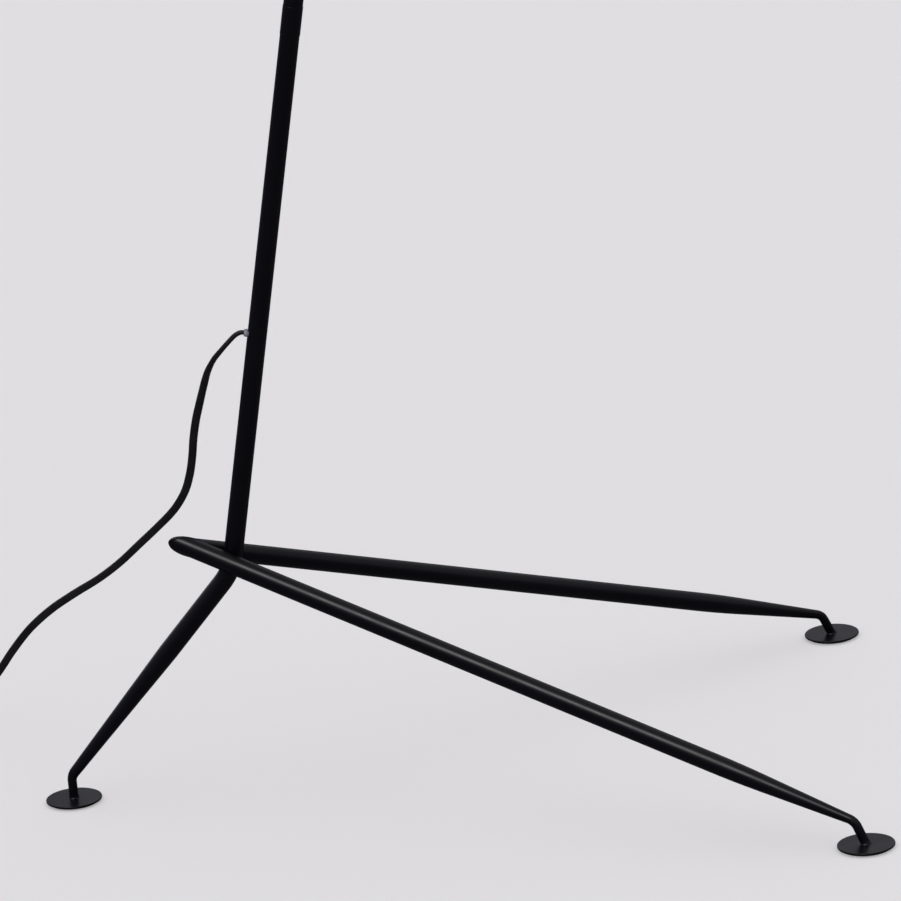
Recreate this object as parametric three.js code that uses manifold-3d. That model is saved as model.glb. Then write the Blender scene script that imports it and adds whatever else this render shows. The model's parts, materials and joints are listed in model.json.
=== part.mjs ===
// Tripod floor lamp, 1.6 m high: a leaning tube post whose foot is bent into the rear leg, two front
// legs that meet in a mitred V behind the post, disc feet, and a head that swivels and tilts.
// Millimetres, +Z up, +X towards the two front feet, origin on the floor at the middle of the feet.
import * as THREE from 'three';
import { mergeVertices } from 'three/addons/utils/BufferGeometryUtils.js';
import Module from 'manifold-3d';

const wasm = await Module();
wasm.setup();

// ---------------------------------------------------------------- driving dimensions
const GAP = 0.3;                    // clearance kept between pieces that touch
const RADIAN = Math.PI / 180;

// tubes of the stand
const TUBE_D = 16;
const TUBE_WALL = 2;
const ROD_D = 7.6;                  // the tube's end, swaged down to a rod
const TUBE_SIDES = 16;

// post and rear leg, one bent tube
const STEM_LEAN = 11.34;            // degrees from upright, towards the front feet
const STEM_CORNER_Z = 189.55;       // height of the corner where post and rear leg meet
const STEM_BEND_R = 50;
const REAR_SLOPE = 48.32;           // degrees below level
const REAR_FOOT_BEND_Z = 22.1;
const REAR_SWAGE_LENGTH = 136;
const REAR_SWAGE_END_D = 9.1;
const FOOT_BEND_R = 12;

// the two front legs
const LEG_DROP = 18.37;             // degrees below level
const LEG_SPREAD = 25.75;           // degrees from the middle plane, each
const LEG_CROSSING_ABOVE = 10.45;   // how far above the corner the legs' axes pass the post's
const COPE_DEPTH = 1.44;            // how deep each leg is hollowed to fit the post
const FRONT_FOOT_BEND_Z = 21.1;
const FRONT_FOOT_SLOPE = 66;        // degrees below level, of the rod above the front discs
const FRONT_SWAGE_LENGTH = 125;

// feet
const PAD_R = 21;
const PAD_THICK = 1;
const DISC_R = 23.3;
const DISC_THICK = 2;

// post: where it is jointed and where it ends, measured along it from its corner
const COUPLING_AT = 457;
const COUPLING_BAND = 24;
const COUPLING_PROUD = 0.35;        // how far its band stands out round the tube
const COUPLING_SPIGOT = 25;
const STEM_LENGTH = 1310;

// cord outlet
const OUTLET_AT = 204.3;            // along the post from its corner
const CORD_W = 6.8;
const CORD_T = 3.8;
const BUSH_WALL = 0.7;
const BUSH_RIM = 0.6;               // how far its head stands out round the hole
const BUSH_HEAD = 3;

// swivel on top of the post
const SWIVEL_PROUD = 1.5;           // how far the swivel stands out round the tube
const FERRULE_H = 14;
const FERRULE_PLUG = 25;
const NIPPLE_R = 5;
const NIPPLE_SOCKET = 10;
const NIPPLE_REACH = 13;            // above the swivel washer
const WASHER_THICK = 1;
const SOCKET_H = 30;
const SOCKET_FLOOR = 5;
const SOCKET_ROOF = 8;
const NUT_H = 5;

// arm
const ARM_D = 10;
const ARM_BORE_R = 3.5;
const ARM_RISE = 27;                // straight stretch above the socket's roof
const ARM_HOOK_R = 70;
const ARM_DROP = 16;                // straight stretch above the fork
const FLEX_R = 2.3;                 // two-core flex inside the tubes

// tilting knuckle, heights from its pivot
const FORK_R = 8.5;
const FORK_TOP = 26;
const FORK_SLOT_TOP = 9;
const TONGUE_HALF = 3.2;
const TONGUE_R = 7.5;
const FRICTION_THICK = 1.1;
const SCREW_R = 2.5;
const SCREW_HEAD_R = 5.5;
const SCREW_HEAD = 3.2;
const COLLAR_TOP = -9.2;
const COLLAR_BOTTOM = -20;
const COLLAR_R = 8;
const COLLAR_SOCKET = 8;            // depth of its threaded hole

// head, heights from the pivot
const HEAD_NIPPLE_R = 4.5;
const HEAD_NIPPLE_BORE = 2.8;
const CAP_R = 23.5;
const CAP_WALL = 1.2;
const CAP_SHOULDER = 12;
const SMALL_NUT_H = 3.5;
const SMALL_NUT_R = 8;
const SWITCH_Z = -40;
const SWITCH_R = 6;
const SWITCH_DEPTH = 14.4;
const SWITCH_FLOOR = 4;             // behind the button's well
const BUTTON_R = 3;
const BUTTON_TRAVEL = 2;
const BUTTON_PROUD = 3;
const BEZEL_R = 5.5;
const HOLDER_TOP = -54;
const HOLDER_WALL = 1.4;
const HOLDER_LINING = 2.4;          // room round the lamp's cap for the threaded shell
const HOLDER_ROOF = 3;
const HOLDER_FLANGE_Z = -84;
const HOLDER_FLANGE = 3;
const HOLDER_SKIRT_WALL = 2.9;
const HOLDER_BOTTOM = -104;
const SHADE_WALL = 1;
const SHADE_LEDGE = 3.5;            // flat of the shade's neck outside the cap
const SHADE_MOUTH_R = 95;
const SHADE_MOUTH_Z = -178;
const RING_WALL = 5.2;
const RING_H = 6;
const LAMP_CAP_R = 13.2;
const LAMP_CAP_LENGTH = 25;
const GLASS_R = 22.5;
const GLASS_WALL = 1;

// cord on the floor and its plug
const COIL_R = 36;                  // to the middle of the turns
const COIL_WIDTH = 13;
const COIL_HEIGHT = 14.2;
const COIL_CENTRE = [-468, 150];
const TIE_WIDTH = 9;
const TIE_THICK = 0.8;
const PLUG_LENGTH = 36;
const PLUG_WIDTH = 34;
const PLUG_THICK = 14;
const PLUG_NECK = 26;               // its tapered strain relief
const PIN_R = 2;
const PIN_LENGTH = 19;
const PIN_SPACING = 19;

// ---------------------------------------------------------------- finishes
const finish = (color, roughness, metalness) => ({ color, roughness, metalness });
const BLACK_PAINT = finish(0x0c0c12, 0.45, 0.1);
const BLACK_PLASTIC = finish(0x141418, 0.5, 0);
const BRASS = finish(0xb08d4a, 0.3, 0.9);
const STEEL = finish(0xb4b4b8, 0.35, 0.9);
const BUSH_PLASTIC = finish(0xb9b4c4, 0.4, 0);
const CORD_PLASTIC = finish(0x1b1a1f, 0.55, 0);
const FELT = finish(0x1a1a1a, 0.95, 0);
const FIBRE = finish(0x3a2a22, 0.8, 0);
const WHITE_PLASTIC = finish(0xf0efe9, 0.4, 0);
const OPAL_GLASS = finish(0xf6f4ee, 0.25, 0);
const CERAMIC = finish(0xe9e6df, 0.5, 0);

// ---------------------------------------------------------------- solids and booleans
// Welds a geometry into one indexed body whose faces point out.
function weld(geometry) {
  const bare = geometry.clone();
  bare.deleteAttribute('normal');
  bare.deleteAttribute('uv');
  const welded = mergeVertices(bare, 1e-4);
  const at = (i) => new THREE.Vector3().fromBufferAttribute(welded.attributes.position, i);
  const kept = [];
  let volume = 0;
  const index = welded.index.array;
  for (let i = 0; i < index.length; i += 3) {
    const [a, b, c] = [index[i], index[i + 1], index[i + 2]];
    if (a === b || b === c || c === a) continue;
    kept.push([a, b, c]);
    volume += at(a).dot(at(b).cross(at(c)));
  }
  const turned = volume < 0 ? kept.map(([a, b, c]) => [a, c, b]) : kept;
  welded.setIndex(turned.flat());
  return welded;
}

function solid(geometry) {
  const body = weld(geometry);
  return new wasm.Manifold(new wasm.Mesh({
    numProp: 3,
    vertProperties: new Float32Array(body.attributes.position.array),
    triVerts: new Uint32Array(body.index.array),
  }));
}

function geometryOf(manifold) {
  const mesh = manifold.getMesh();
  const geometry = new THREE.BufferGeometry();
  geometry.setAttribute('position', new THREE.BufferAttribute(new Float32Array(mesh.vertProperties), 3));
  geometry.setIndex([...mesh.triVerts]);
  return geometry;
}

// Joins the first list and cuts the second from it.
function carve(joined, cut) {
  let body = solid(joined[0]);
  for (const extra of joined.slice(1)) body = body.add(solid(extra));
  for (const tool of cut) body = body.subtract(solid(tool));
  return geometryOf(body);
}

function keepInside(geometry, region) {
  return geometryOf(solid(geometry).intersect(solid(region)));
}

// A turned piece about Z from its outline of [radius, height] points.
function turned(outline, sides = 16) {
  const points = outline.map(([r, z]) => new THREE.Vector2(r, z));
  return weld(new THREE.LatheGeometry(points, sides).rotateX(Math.PI / 2));
}

function rod(radius, bottom, top, sides = 16) {
  return turned([[0, bottom], [radius, bottom], [radius, top], [0, top]], sides);
}

function ring(inner, outer, bottom, top, sides = 16) {
  return turned([[inner, bottom], [outer, bottom], [outer, top], [inner, top], [inner, bottom]], sides);
}

function box(x, y, z) {
  return new THREE.BoxGeometry(x[1] - x[0], y[1] - y[0], z[1] - z[0])
    .translate((x[0] + x[1]) / 2, (y[0] + y[1]) / 2, (z[0] + z[1]) / 2);
}

// A rod or ring made along Z, laid along +X or +Y.
const alongX = (geometry) => geometry.rotateY(Math.PI / 2);
const alongY = (geometry) => geometry.rotateX(-Math.PI / 2);

// A tube's route in the XZ plane: straights and bends, as [length] and [turn in degrees, bend radius].
// Headings are degrees below level towards +X.
class BentRoute {
  constructor(start, heading, steps) {
    this.start = start;
    this.heading = heading;
    this.steps = steps;
  }

  lengthOf(step) {
    return step.length === 1 ? step[0] : Math.abs(step[0]) * RADIAN * step[1];
  }

  get length() {
    return this.steps.reduce((sum, step) => sum + this.lengthOf(step), 0);
  }

  // Place and heading after a distance along the route.
  at(distance) {
    let [x, z] = this.start;
    let heading = this.heading;
    let left = distance;
    for (const [i, step] of this.steps.entries()) {
      const whole = this.lengthOf(step);
      const last = i === this.steps.length - 1;
      const part = last ? left : Math.min(left, whole);
      const turn = step.length === 1 ? 0 : (step[0] * part) / whole;
      const chord = turn === 0 ? part : 2 * step[1] * Math.sin((Math.abs(turn) * RADIAN) / 2);
      const middle = (heading + turn / 2) * RADIAN;
      x += chord * Math.cos(middle);
      z -= chord * Math.sin(middle);
      heading += turn;
      left -= part;
      if (left <= 0 && !last) break;
    }
    return { x, z, heading };
  }

  // Distances at which a bar needs a ring to follow the bends.
  stations(ringsPerBend) {
    const list = [];
    let distance = 0;
    for (const step of this.steps) {
      const whole = this.lengthOf(step);
      if (step.length === 2) {
        for (let i = 0; i <= ringsPerBend; i += 1) list.push(distance + (whole * i) / ringsPerBend);
      }
      distance += whole;
    }
    return list;
  }
}

// A bar turned straight and then bent along a route, as the real tubes are.
function bentBar(route, radiusAt, extraStations, from, to, ringsPerBend = 5, sides = TUBE_SIDES) {
  const wanted = [...route.stations(ringsPerBend), ...extraStations]
    .filter((s) => s > from + 0.05 && s < to - 0.05)
    .sort((a, b) => a - b);
  const stations = [from, ...wanted, to].filter((s, i, all) => i === 0 || s - all[i - 1] > 0.02);
  const outline = stations.map((s) => [radiusAt(s), s]);
  const straight = turned([[0, from], ...outline, [0, to]], sides);
  const position = straight.attributes.position;
  for (let i = 0; i < position.count; i += 1) {
    const [across, side, distance] = [position.getX(i), position.getY(i), position.getZ(i)];
    const place = route.at(distance);
    const heading = place.heading * RADIAN;
    position.setXYZ(i, place.x + across * Math.sin(heading), side, place.z + across * Math.cos(heading));
  }
  return weld(straight);
}

// ---------------------------------------------------------------- layout worked out from the sizes
const TUBE_R = TUBE_D / 2;
const BORE_R = TUBE_R - TUBE_WALL;
const ROD_R = ROD_D / 2;
const DISC_TOP = PAD_THICK + DISC_THICK;
const DISC_MIDDLE = PAD_THICK + DISC_THICK / 2;
const ROD_END_Z = DISC_TOP + GAP;

const lean = STEM_LEAN * RADIAN;
const drop = LEG_DROP * RADIAN;
const spread = LEG_SPREAD * RADIAN;
const stemAxis = new THREE.Vector3(Math.sin(lean), 0, Math.cos(lean));
const legAxis = new THREE.Vector3(
  Math.cos(drop) * Math.cos(spread), Math.cos(drop) * Math.sin(spread), -Math.sin(drop),
);

// The legs start at the point of the V, far enough behind the post for each to touch it.
const crossing = new THREE.Vector3(
  Math.tan(lean) * LEG_CROSSING_ABOVE, 0, STEM_CORNER_Z + LEG_CROSSING_ABOVE,
);
const bisector = new THREE.Vector3(Math.cos(drop) * Math.cos(spread), 0, -Math.sin(drop)).normalize();
const acrossBoth = new THREE.Vector3().crossVectors(stemAxis, legAxis).normalize();
const backFromCrossing = (TUBE_D - COPE_DEPTH) / Math.abs(bisector.dot(acrossBoth));
const legStart = crossing.clone().addScaledVector(bisector, -backFromCrossing);

const frontReach = (legStart.z - FRONT_FOOT_BEND_Z) / Math.tan(drop)
  + (FRONT_FOOT_BEND_Z - DISC_MIDDLE) / Math.tan(FRONT_FOOT_SLOPE * RADIAN);
const frontFoot = [legStart.x + frontReach * Math.cos(spread), frontReach * Math.sin(spread)];
const rearFoot = [-(STEM_CORNER_Z - REAR_FOOT_BEND_Z) / Math.tan(REAR_SLOPE * RADIAN), 0];
const MIDDLE_X = (frontFoot[0] + rearFoot[0]) / 2;

const smooth = (t) => t * t * (3 - 2 * t);
const clamp01 = (t) => Math.min(Math.max(t, 0), 1);

// ---------------------------------------------------------------- post and legs
function swageStations(from, to) {
  const rings = 5;
  return Array.from({ length: rings + 1 }, (_, i) => from + ((to - from) * i) / rings);
}

// The lower post runs down from its coupling, bends, and becomes the rear leg.
function lowerStem() {
  const bend = 90 - STEM_LEAN - REAR_SLOPE;
  const bendTangent = STEM_BEND_R * Math.tan((bend / 2) * RADIAN);
  const footTurn = 90 - REAR_SLOPE;
  const footTangent = FOOT_BEND_R * Math.tan((footTurn / 2) * RADIAN);
  const legLength = (STEM_CORNER_Z - REAR_FOOT_BEND_Z) / Math.sin(REAR_SLOPE * RADIAN);
  const top = [-stemAxis.x * COUPLING_AT, STEM_CORNER_Z + stemAxis.z * COUPLING_AT];
  const route = new BentRoute(top, 90 - STEM_LEAN, [
    [COUPLING_AT - bendTangent],
    [-bend, STEM_BEND_R],
    [legLength - bendTangent - footTangent],
    [footTurn, FOOT_BEND_R],
    [REAR_FOOT_BEND_Z - footTangent - ROD_END_Z],
  ]);
  const footBendStart = route.length - route.lengthOf(route.steps[4]) - route.lengthOf(route.steps[3]);
  const swageEnd = footBendStart + footTangent;
  const swageStart = swageEnd - REAR_SWAGE_LENGTH;
  const neckStart = footBendStart - FOOT_BEND_R / 4;
  const endR = REAR_SWAGE_END_D / 2;
  const radiusAt = (s) => {
    const swaged = TUBE_R + (endR - TUBE_R) * clamp01((s - swageStart) / (neckStart - swageStart));
    const necked = smooth(clamp01((s - neckStart) / FOOT_BEND_R));
    return swaged + (ROD_R - swaged) * necked;
  };
  const neckMarks = [neckStart + FOOT_BEND_R / 2, neckStart + FOOT_BEND_R];
  const marks = [...swageStations(swageStart, neckStart), ...neckMarks];
  const outer = bentBar(route, radiusAt, marks, 0, route.length);
  const boreEnd = swageStart + REAR_SWAGE_LENGTH / 2;
  const boreAt = (s) => radiusAt(s) - TUBE_WALL;
  const bore = bentBar(route, boreAt, [swageStart], -1, boreEnd);
  // The route above runs towards +X and is turned about, because the rear leg runs towards -X.
  const outlet = onStem(OUTLET_AT);
  const outletHole = rod(BUSH_NECK + GAP, 0, TUBE_D).scale(BUSH_FLATTENING, 1, 1)
    .rotateY(-Math.PI / 2).rotateY(lean).translate(outlet.x, 0, outlet.z);
  const mirror = new THREE.Matrix4().makeRotationZ(Math.PI);
  return carve([outer.applyMatrix4(mirror)], [bore.applyMatrix4(mirror), outletHole]);
}

function onStem(distance) {
  return new THREE.Vector3(0, 0, STEM_CORNER_Z).addScaledVector(stemAxis, distance);
}

// One front leg, side = +1 for left (+Y) and -1 for right (-Y).
function frontLeg(side) {
  const legLength = (legStart.z - FRONT_FOOT_BEND_Z) / Math.sin(drop);
  const tail = TUBE_D / Math.sin(spread);
  const footTurn = FRONT_FOOT_SLOPE - LEG_DROP;
  const footTangent = FOOT_BEND_R * Math.tan((footTurn / 2) * RADIAN);
  const rodLength = (FRONT_FOOT_BEND_Z - DISC_MIDDLE) / Math.sin(FRONT_FOOT_SLOPE * RADIAN);
  const start = [-tail * Math.cos(drop), legStart.z + tail * Math.sin(drop)];
  const route = new BentRoute(start, LEG_DROP, [
    [tail + legLength - footTangent],
    [footTurn, FOOT_BEND_R],
    [rodLength - footTangent + ROD_R],
  ]);
  const swageEnd = tail + legLength - footTangent;
  const swageStart = tail + legLength - FRONT_SWAGE_LENGTH;
  const shoulder = 0.35;
  const radiusAt = (s) => {
    const t = clamp01((s - swageStart) / (swageEnd - swageStart));
    const eased = t < shoulder ? (t * t) / (2 * shoulder) : t - shoulder / 2;
    return TUBE_R + ((ROD_R - TUBE_R) * eased) / (1 - shoulder / 2);
  };
  const outer = bentBar(route, radiusAt, swageStations(swageStart, swageEnd), 0, route.length);
  const boreEnd = swageStart + FRONT_SWAGE_LENGTH / 2;
  const boreAt = (s) => radiusAt(s) - TUBE_WALL;
  const bore = bentBar(route, boreAt, swageStations(swageStart, boreEnd), -1, boreEnd);
  const place = new THREE.Matrix4().makeRotationZ(side * spread).setPosition(legStart.x, 0, 0);
  const post = rod(TUBE_R + GAP, -TUBE_D * 3, TUBE_D * 3, TUBE_SIDES).rotateY(lean)
    .translate(crossing.x, 0, crossing.z);
  const leg = carve([outer.applyMatrix4(place)], [bore.applyMatrix4(place), post]);
  const room = frontFoot[0] * 2;
  const ownSide = side > 0 ? [GAP / 2, room] : [-room, -GAP / 2];
  return keepInside(leg, box([-room, room], ownSide, [ROD_END_Z, room]));
}

function disc() {
  const edge = DISC_THICK / 4;
  return turned([
    [0, PAD_THICK + GAP], [DISC_R - edge, PAD_THICK + GAP], [DISC_R, PAD_THICK + edge + GAP],
    [DISC_R, DISC_TOP - edge], [DISC_R - edge, DISC_TOP], [0, DISC_TOP],
  ], 24);
}

function stemCoupling() {
  const spigot = BORE_R - GAP;
  const band = TUBE_R + COUPLING_PROUD;
  const bore = FLEX_R + 2 * GAP;
  return turned([
    [bore, -COUPLING_SPIGOT], [spigot, -COUPLING_SPIGOT], [spigot, GAP], [band, GAP],
    [band, COUPLING_BAND - GAP], [spigot, COUPLING_BAND - GAP],
    [spigot, COUPLING_BAND + COUPLING_SPIGOT], [bore, COUPLING_BAND + COUPLING_SPIGOT],
    [bore, -COUPLING_SPIGOT],
  ]);
}

// An oval bushing along -X from the post's axis, as wide as the flat cord needs and flatter in height:
// a head outside and a neck through the wall.
const BUSH_BORE = CORD_W / 2 + GAP;
const BUSH_NECK = BUSH_BORE + BUSH_WALL;
const BUSH_FLATTENING = (CORD_T / 2 + GAP + BUSH_WALL) / BUSH_NECK;

function cordBushing() {
  const back = TUBE_R + GAP;
  const inside = BORE_R - GAP;
  const head = BUSH_NECK + BUSH_RIM + GAP;
  return turned([
    [BUSH_BORE, inside], [BUSH_NECK, inside], [BUSH_NECK, back], [head, back],
    [head, back + BUSH_HEAD / 2], [BUSH_NECK, back + BUSH_HEAD],
    [BUSH_BORE, back + BUSH_HEAD], [BUSH_BORE, inside],
  ]).scale(BUSH_FLATTENING, 1, 1).rotateY(-Math.PI / 2);
}

// ---------------------------------------------------------------- swivel and arm, from the post's end
const SWIVEL_R = TUBE_R + SWIVEL_PROUD;
const FERRULE_TOP = GAP + FERRULE_H;
const WASHER_AT = FERRULE_TOP + GAP;
const SOCKET_AT = WASHER_AT + WASHER_THICK + GAP;
const SOCKET_TOP = SOCKET_AT + SOCKET_H;
const ROOF_AT = SOCKET_TOP - SOCKET_ROOF;
const NIPPLE_HOLE = NIPPLE_R + GAP;
const FLEX_HOLE = FLEX_R + 2 * GAP;

function stemFerrule() {
  const socketFloor = FERRULE_TOP - NIPPLE_SOCKET;
  return turned([
    [FLEX_HOLE, -FERRULE_PLUG], [BORE_R - GAP, -FERRULE_PLUG], [BORE_R - GAP, GAP], [SWIVEL_R - 1, GAP],
    [SWIVEL_R, GAP + 1], [SWIVEL_R, FERRULE_TOP], [NIPPLE_HOLE, FERRULE_TOP], [NIPPLE_HOLE, socketFloor],
    [FLEX_HOLE, socketFloor], [FLEX_HOLE, -FERRULE_PLUG],
  ], 20);
}

function armSocket() {
  const chamber = SWIVEL_R - 2;
  const armHole = ARM_D / 2 + GAP;
  return turned([
    [NIPPLE_HOLE, SOCKET_AT], [SWIVEL_R, SOCKET_AT], [SWIVEL_R, SOCKET_TOP - 3], [SWIVEL_R - 2, SOCKET_TOP],
    [armHole, SOCKET_TOP], [armHole, ROOF_AT], [chamber, ROOF_AT], [chamber, SOCKET_AT + SOCKET_FLOOR],
    [NIPPLE_HOLE, SOCKET_AT + SOCKET_FLOOR], [NIPPLE_HOLE, SOCKET_AT],
  ], 20);
}

function hexNut(inner, outer, bottom, height) {
  return carve([rod(outer, bottom, bottom + height, 6)], [rod(inner, bottom - 1, bottom + height + 1)]);
}

// The hook of the arm, in the plane of the lean, as a route from the socket's roof to the fork.
const armStart = onStem(STEM_LENGTH + ROOF_AT + GAP);
const ARM_TURN = 180 - STEM_LEAN;
function armRoute() {
  return new BentRoute([armStart.x, armStart.z], -(90 - STEM_LEAN), [
    [SOCKET_ROOF + ARM_RISE],
    [ARM_TURN, ARM_HOOK_R],
    [ARM_DROP],
  ]);
}
const armEnd = armRoute().at(armRoute().length);
const PIVOT = new THREE.Vector3(armEnd.x, 0, armEnd.z - FORK_TOP + SOCKET_ROOF);

function arm() {
  const route = armRoute();
  const outer = bentBar(route, () => ARM_D / 2, [], 0, route.length, 14, 12);
  const bore = bentBar(route, () => ARM_BORE_R, [], -1, route.length + 1, 14, 8);
  return carve([outer], [bore]);
}

function armFlex() {
  const route = armRoute();
  return bentBar(route, () => FLEX_R, [], GAP, route.length + SOCKET_ROOF / 2, 14, 6);
}

// ---------------------------------------------------------------- knuckle, heights from its pivot
const SLOT_HALF = TONGUE_HALF + FRICTION_THICK + 2 * GAP;
const PIN_HOLE = SCREW_R + GAP;

function fork() {
  const blank = rod(FORK_R, -FORK_R, FORK_TOP, 20);
  const rounded = carve(
    [box([-FORK_R, FORK_R], [-FORK_R, FORK_R], [0, FORK_TOP]), alongY(rod(FORK_R, -FORK_R, FORK_R, 20))],
    [],
  );
  const below = FORK_R * 2;
  return carve([keepInside(blank, rounded)], [
    box([-below, below], [-SLOT_HALF, SLOT_HALF], [-below, FORK_SLOT_TOP]),
    alongY(rod(PIN_HOLE, -below, below)),
    rod(ARM_D / 2 + GAP, FORK_TOP - SOCKET_ROOF - GAP, FORK_TOP + 1),
    rod(FLEX_HOLE, FORK_SLOT_TOP - 1, FORK_TOP),
  ]);
}

function tongue() {
  const neck = TONGUE_R * 0.6;
  return carve([
    alongY(rod(TONGUE_R, -TONGUE_HALF, TONGUE_HALF, 20)),
    box([-neck, neck], [-TONGUE_HALF, TONGUE_HALF], [COLLAR_TOP - 1, 0]),
    rod(COLLAR_R, COLLAR_BOTTOM, COLLAR_TOP, 20),
  ], [
    alongY(rod(PIN_HOLE, -FORK_R, FORK_R)),
    rod(HEAD_NIPPLE_R + GAP, COLLAR_BOTTOM - 1, COLLAR_BOTTOM + COLLAR_SOCKET),
  ]);
}

function knuckleScrew() {
  const seat = FORK_R + GAP;
  const dome = SCREW_HEAD_R * 0.6;
  return alongY(turned([
    [0, -seat - SCREW_HEAD], [dome, -seat - SCREW_HEAD * 0.8], [SCREW_HEAD_R, -seat - 1],
    [SCREW_HEAD_R, -seat], [SCREW_R, -seat], [SCREW_R, seat + 1.5], [0, seat + 1.5],
  ]));
}

function knuckleNut() {
  const seat = FORK_R + GAP;
  const dome = SCREW_HEAD_R * 0.6;
  return alongY(turned([
    [PIN_HOLE, seat], [SCREW_HEAD_R, seat], [SCREW_HEAD_R, seat + 1], [dome, seat + SCREW_HEAD * 0.8],
    [0, seat + SCREW_HEAD], [0, seat + 1.5 + GAP], [PIN_HOLE, seat + 1.5 + GAP], [PIN_HOLE, seat],
  ]));
}

function frictionWasher(side) {
  const inner = TONGUE_HALF + GAP;
  const [low, high] = side > 0 ? [inner, inner + FRICTION_THICK] : [-inner - FRICTION_THICK, -inner];
  return alongY(ring(PIN_HOLE, TONGUE_R - 1, low, high));
}

// ---------------------------------------------------------------- head, heights from the pivot
const HOLDER_BORE = LAMP_CAP_R + HOLDER_LINING;
const HOLDER_R = HOLDER_BORE + HOLDER_WALL;
const HOLDER_SKIRT_R = HOLDER_BORE + HOLDER_SKIRT_WALL;
const SHADE_NECK_R = CAP_R + SHADE_LEDGE;
const CAP_TOP = COLLAR_BOTTOM - GAP;
const FLANGE_BOTTOM = HOLDER_FLANGE_Z - HOLDER_FLANGE;
const NECK_TOP = FLANGE_BOTTOM - GAP;
const NECK_BOTTOM = NECK_TOP - SHADE_WALL;
const NIPPLE_END = HOLDER_TOP - HOLDER_ROOF - GAP - SMALL_NUT_H;
const CORE_TOP = NIPPLE_END - 2 * GAP;
const CORE_H = 8;
const CONTACT_H = 1;
const CONTACT_TOP = CORE_TOP - CORE_H - GAP;
const TIP_TOP = CONTACT_TOP - CONTACT_H - GAP;
const LAMP_CAP_TOP = TIP_TOP - 2.1 - GAP;
const LAMP_CAP_BOTTOM = LAMP_CAP_TOP - LAMP_CAP_LENGTH;
const GLASS_TOP = LAMP_CAP_BOTTOM - GAP;
const GLASS_NECK_R = LAMP_CAP_R - 0.6;
const GLASS_NECK_LENGTH = 6;
const GLASS_CENTRE_DOWN = 31;
const GLASS_FIRST_ANGLE = 38;
const GLASS_STEP_ANGLE = 22;

function shadeCap() {
  const hole = HEAD_NIPPLE_R + GAP;
  const flat = CAP_R - CAP_SHOULDER;
  const arc = [1, 2, 3].map((i) => (i / 4) * 90 * RADIAN);
  const shoulder = (radius, top) => arc.map((a) => [
    flat + radius * Math.sin(a),
    top - radius * (1 - Math.cos(a)),
  ]);
  const outer = shoulder(CAP_SHOULDER, CAP_TOP);
  const inner = shoulder(CAP_SHOULDER - CAP_WALL, CAP_TOP - CAP_WALL);
  const rim = NECK_TOP + GAP;
  const shell = turned([
    [hole, CAP_TOP], [flat, CAP_TOP], ...outer, [CAP_R, CAP_TOP - CAP_SHOULDER], [CAP_R, rim],
    [CAP_R - CAP_WALL, rim], [CAP_R - CAP_WALL, CAP_TOP - CAP_SHOULDER], ...inner.reverse(),
    [flat, CAP_TOP - CAP_WALL], [hole, CAP_TOP - CAP_WALL], [hole, CAP_TOP],
  ], 24);
  const buttonHole = alongX(rod(BUTTON_R + GAP, SWITCH_DEPTH, CAP_R + 1)).translate(0, 0, SWITCH_Z);
  return carve([shell], [buttonHole]);
}

// The shade's spun profile: a flat neck, a round shoulder and a straight flare to the mouth.
function shadeOutline(offset) {
  const curve = new THREE.CubicBezierCurve(
    new THREE.Vector2(SHADE_NECK_R, NECK_TOP),
    new THREE.Vector2(SHADE_NECK_R + 14, NECK_TOP),
    new THREE.Vector2(SHADE_NECK_R + 36, NECK_TOP - 30),
    new THREE.Vector2(SHADE_MOUTH_R, SHADE_MOUTH_Z),
  );
  const steps = 6;
  return Array.from({ length: steps + 1 }, (_, i) => {
    const point = curve.getPoint(i / steps);
    const tangent = curve.getTangent(i / steps);
    return [point.x + tangent.y * offset, point.y - tangent.x * offset];
  });
}

function shade() {
  const hole = HOLDER_SKIRT_R + GAP;
  const inner = shadeOutline(SHADE_WALL);
  inner[inner.length - 1][1] = SHADE_MOUTH_Z;
  return turned([
    [hole, NECK_TOP], ...shadeOutline(0), ...inner.reverse(), [hole, NECK_BOTTOM], [hole, NECK_TOP],
  ], 32);
}

function lampholderBody() {
  const hole = HEAD_NIPPLE_R + GAP;
  const roofBottom = HOLDER_TOP - HOLDER_ROOF;
  const flange = CAP_R - CAP_WALL - GAP;
  return turned([
    [hole, HOLDER_TOP], [HOLDER_R - 2, HOLDER_TOP], [HOLDER_R, HOLDER_TOP - 2], [HOLDER_R, HOLDER_FLANGE_Z],
    [flange, HOLDER_FLANGE_Z], [flange, FLANGE_BOTTOM], [HOLDER_SKIRT_R, FLANGE_BOTTOM],
    [HOLDER_SKIRT_R, HOLDER_BOTTOM], [HOLDER_BORE, HOLDER_BOTTOM], [HOLDER_BORE, roofBottom],
    [hole, roofBottom], [hole, HOLDER_TOP],
  ], 20);
}

function lampCap() {
  const top = LAMP_CAP_TOP;
  return turned([
    [0, top], [5, top], [LAMP_CAP_R - 2, top - 3], [LAMP_CAP_R, top - 5], [LAMP_CAP_R, LAMP_CAP_BOTTOM],
    [0, LAMP_CAP_BOTTOM],
  ], 24);
}

// A small round lamp: a neck at the cap that swells to a ball, open where it is sealed to the cap.
function lampGlass() {
  const neck = GLASS_NECK_R;
  const centre = GLASS_TOP - GLASS_CENTRE_DOWN;
  const outline = (wall) => {
    const radius = GLASS_R - wall;
    const points = [];
    for (let angle = GLASS_FIRST_ANGLE; angle < 170; angle += GLASS_STEP_ANGLE) {
      points.push([radius * Math.sin(angle * RADIAN), centre + radius * Math.cos(angle * RADIAN)]);
    }
    const neckFoot = [neck - wall, GLASS_TOP - GLASS_NECK_LENGTH];
    return [[neck - wall, GLASS_TOP], neckFoot, ...points, [0, centre - radius]];
  };
  return turned([...outline(0), ...outline(GLASS_WALL).reverse(), [neck, GLASS_TOP]], 16);
}

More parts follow.
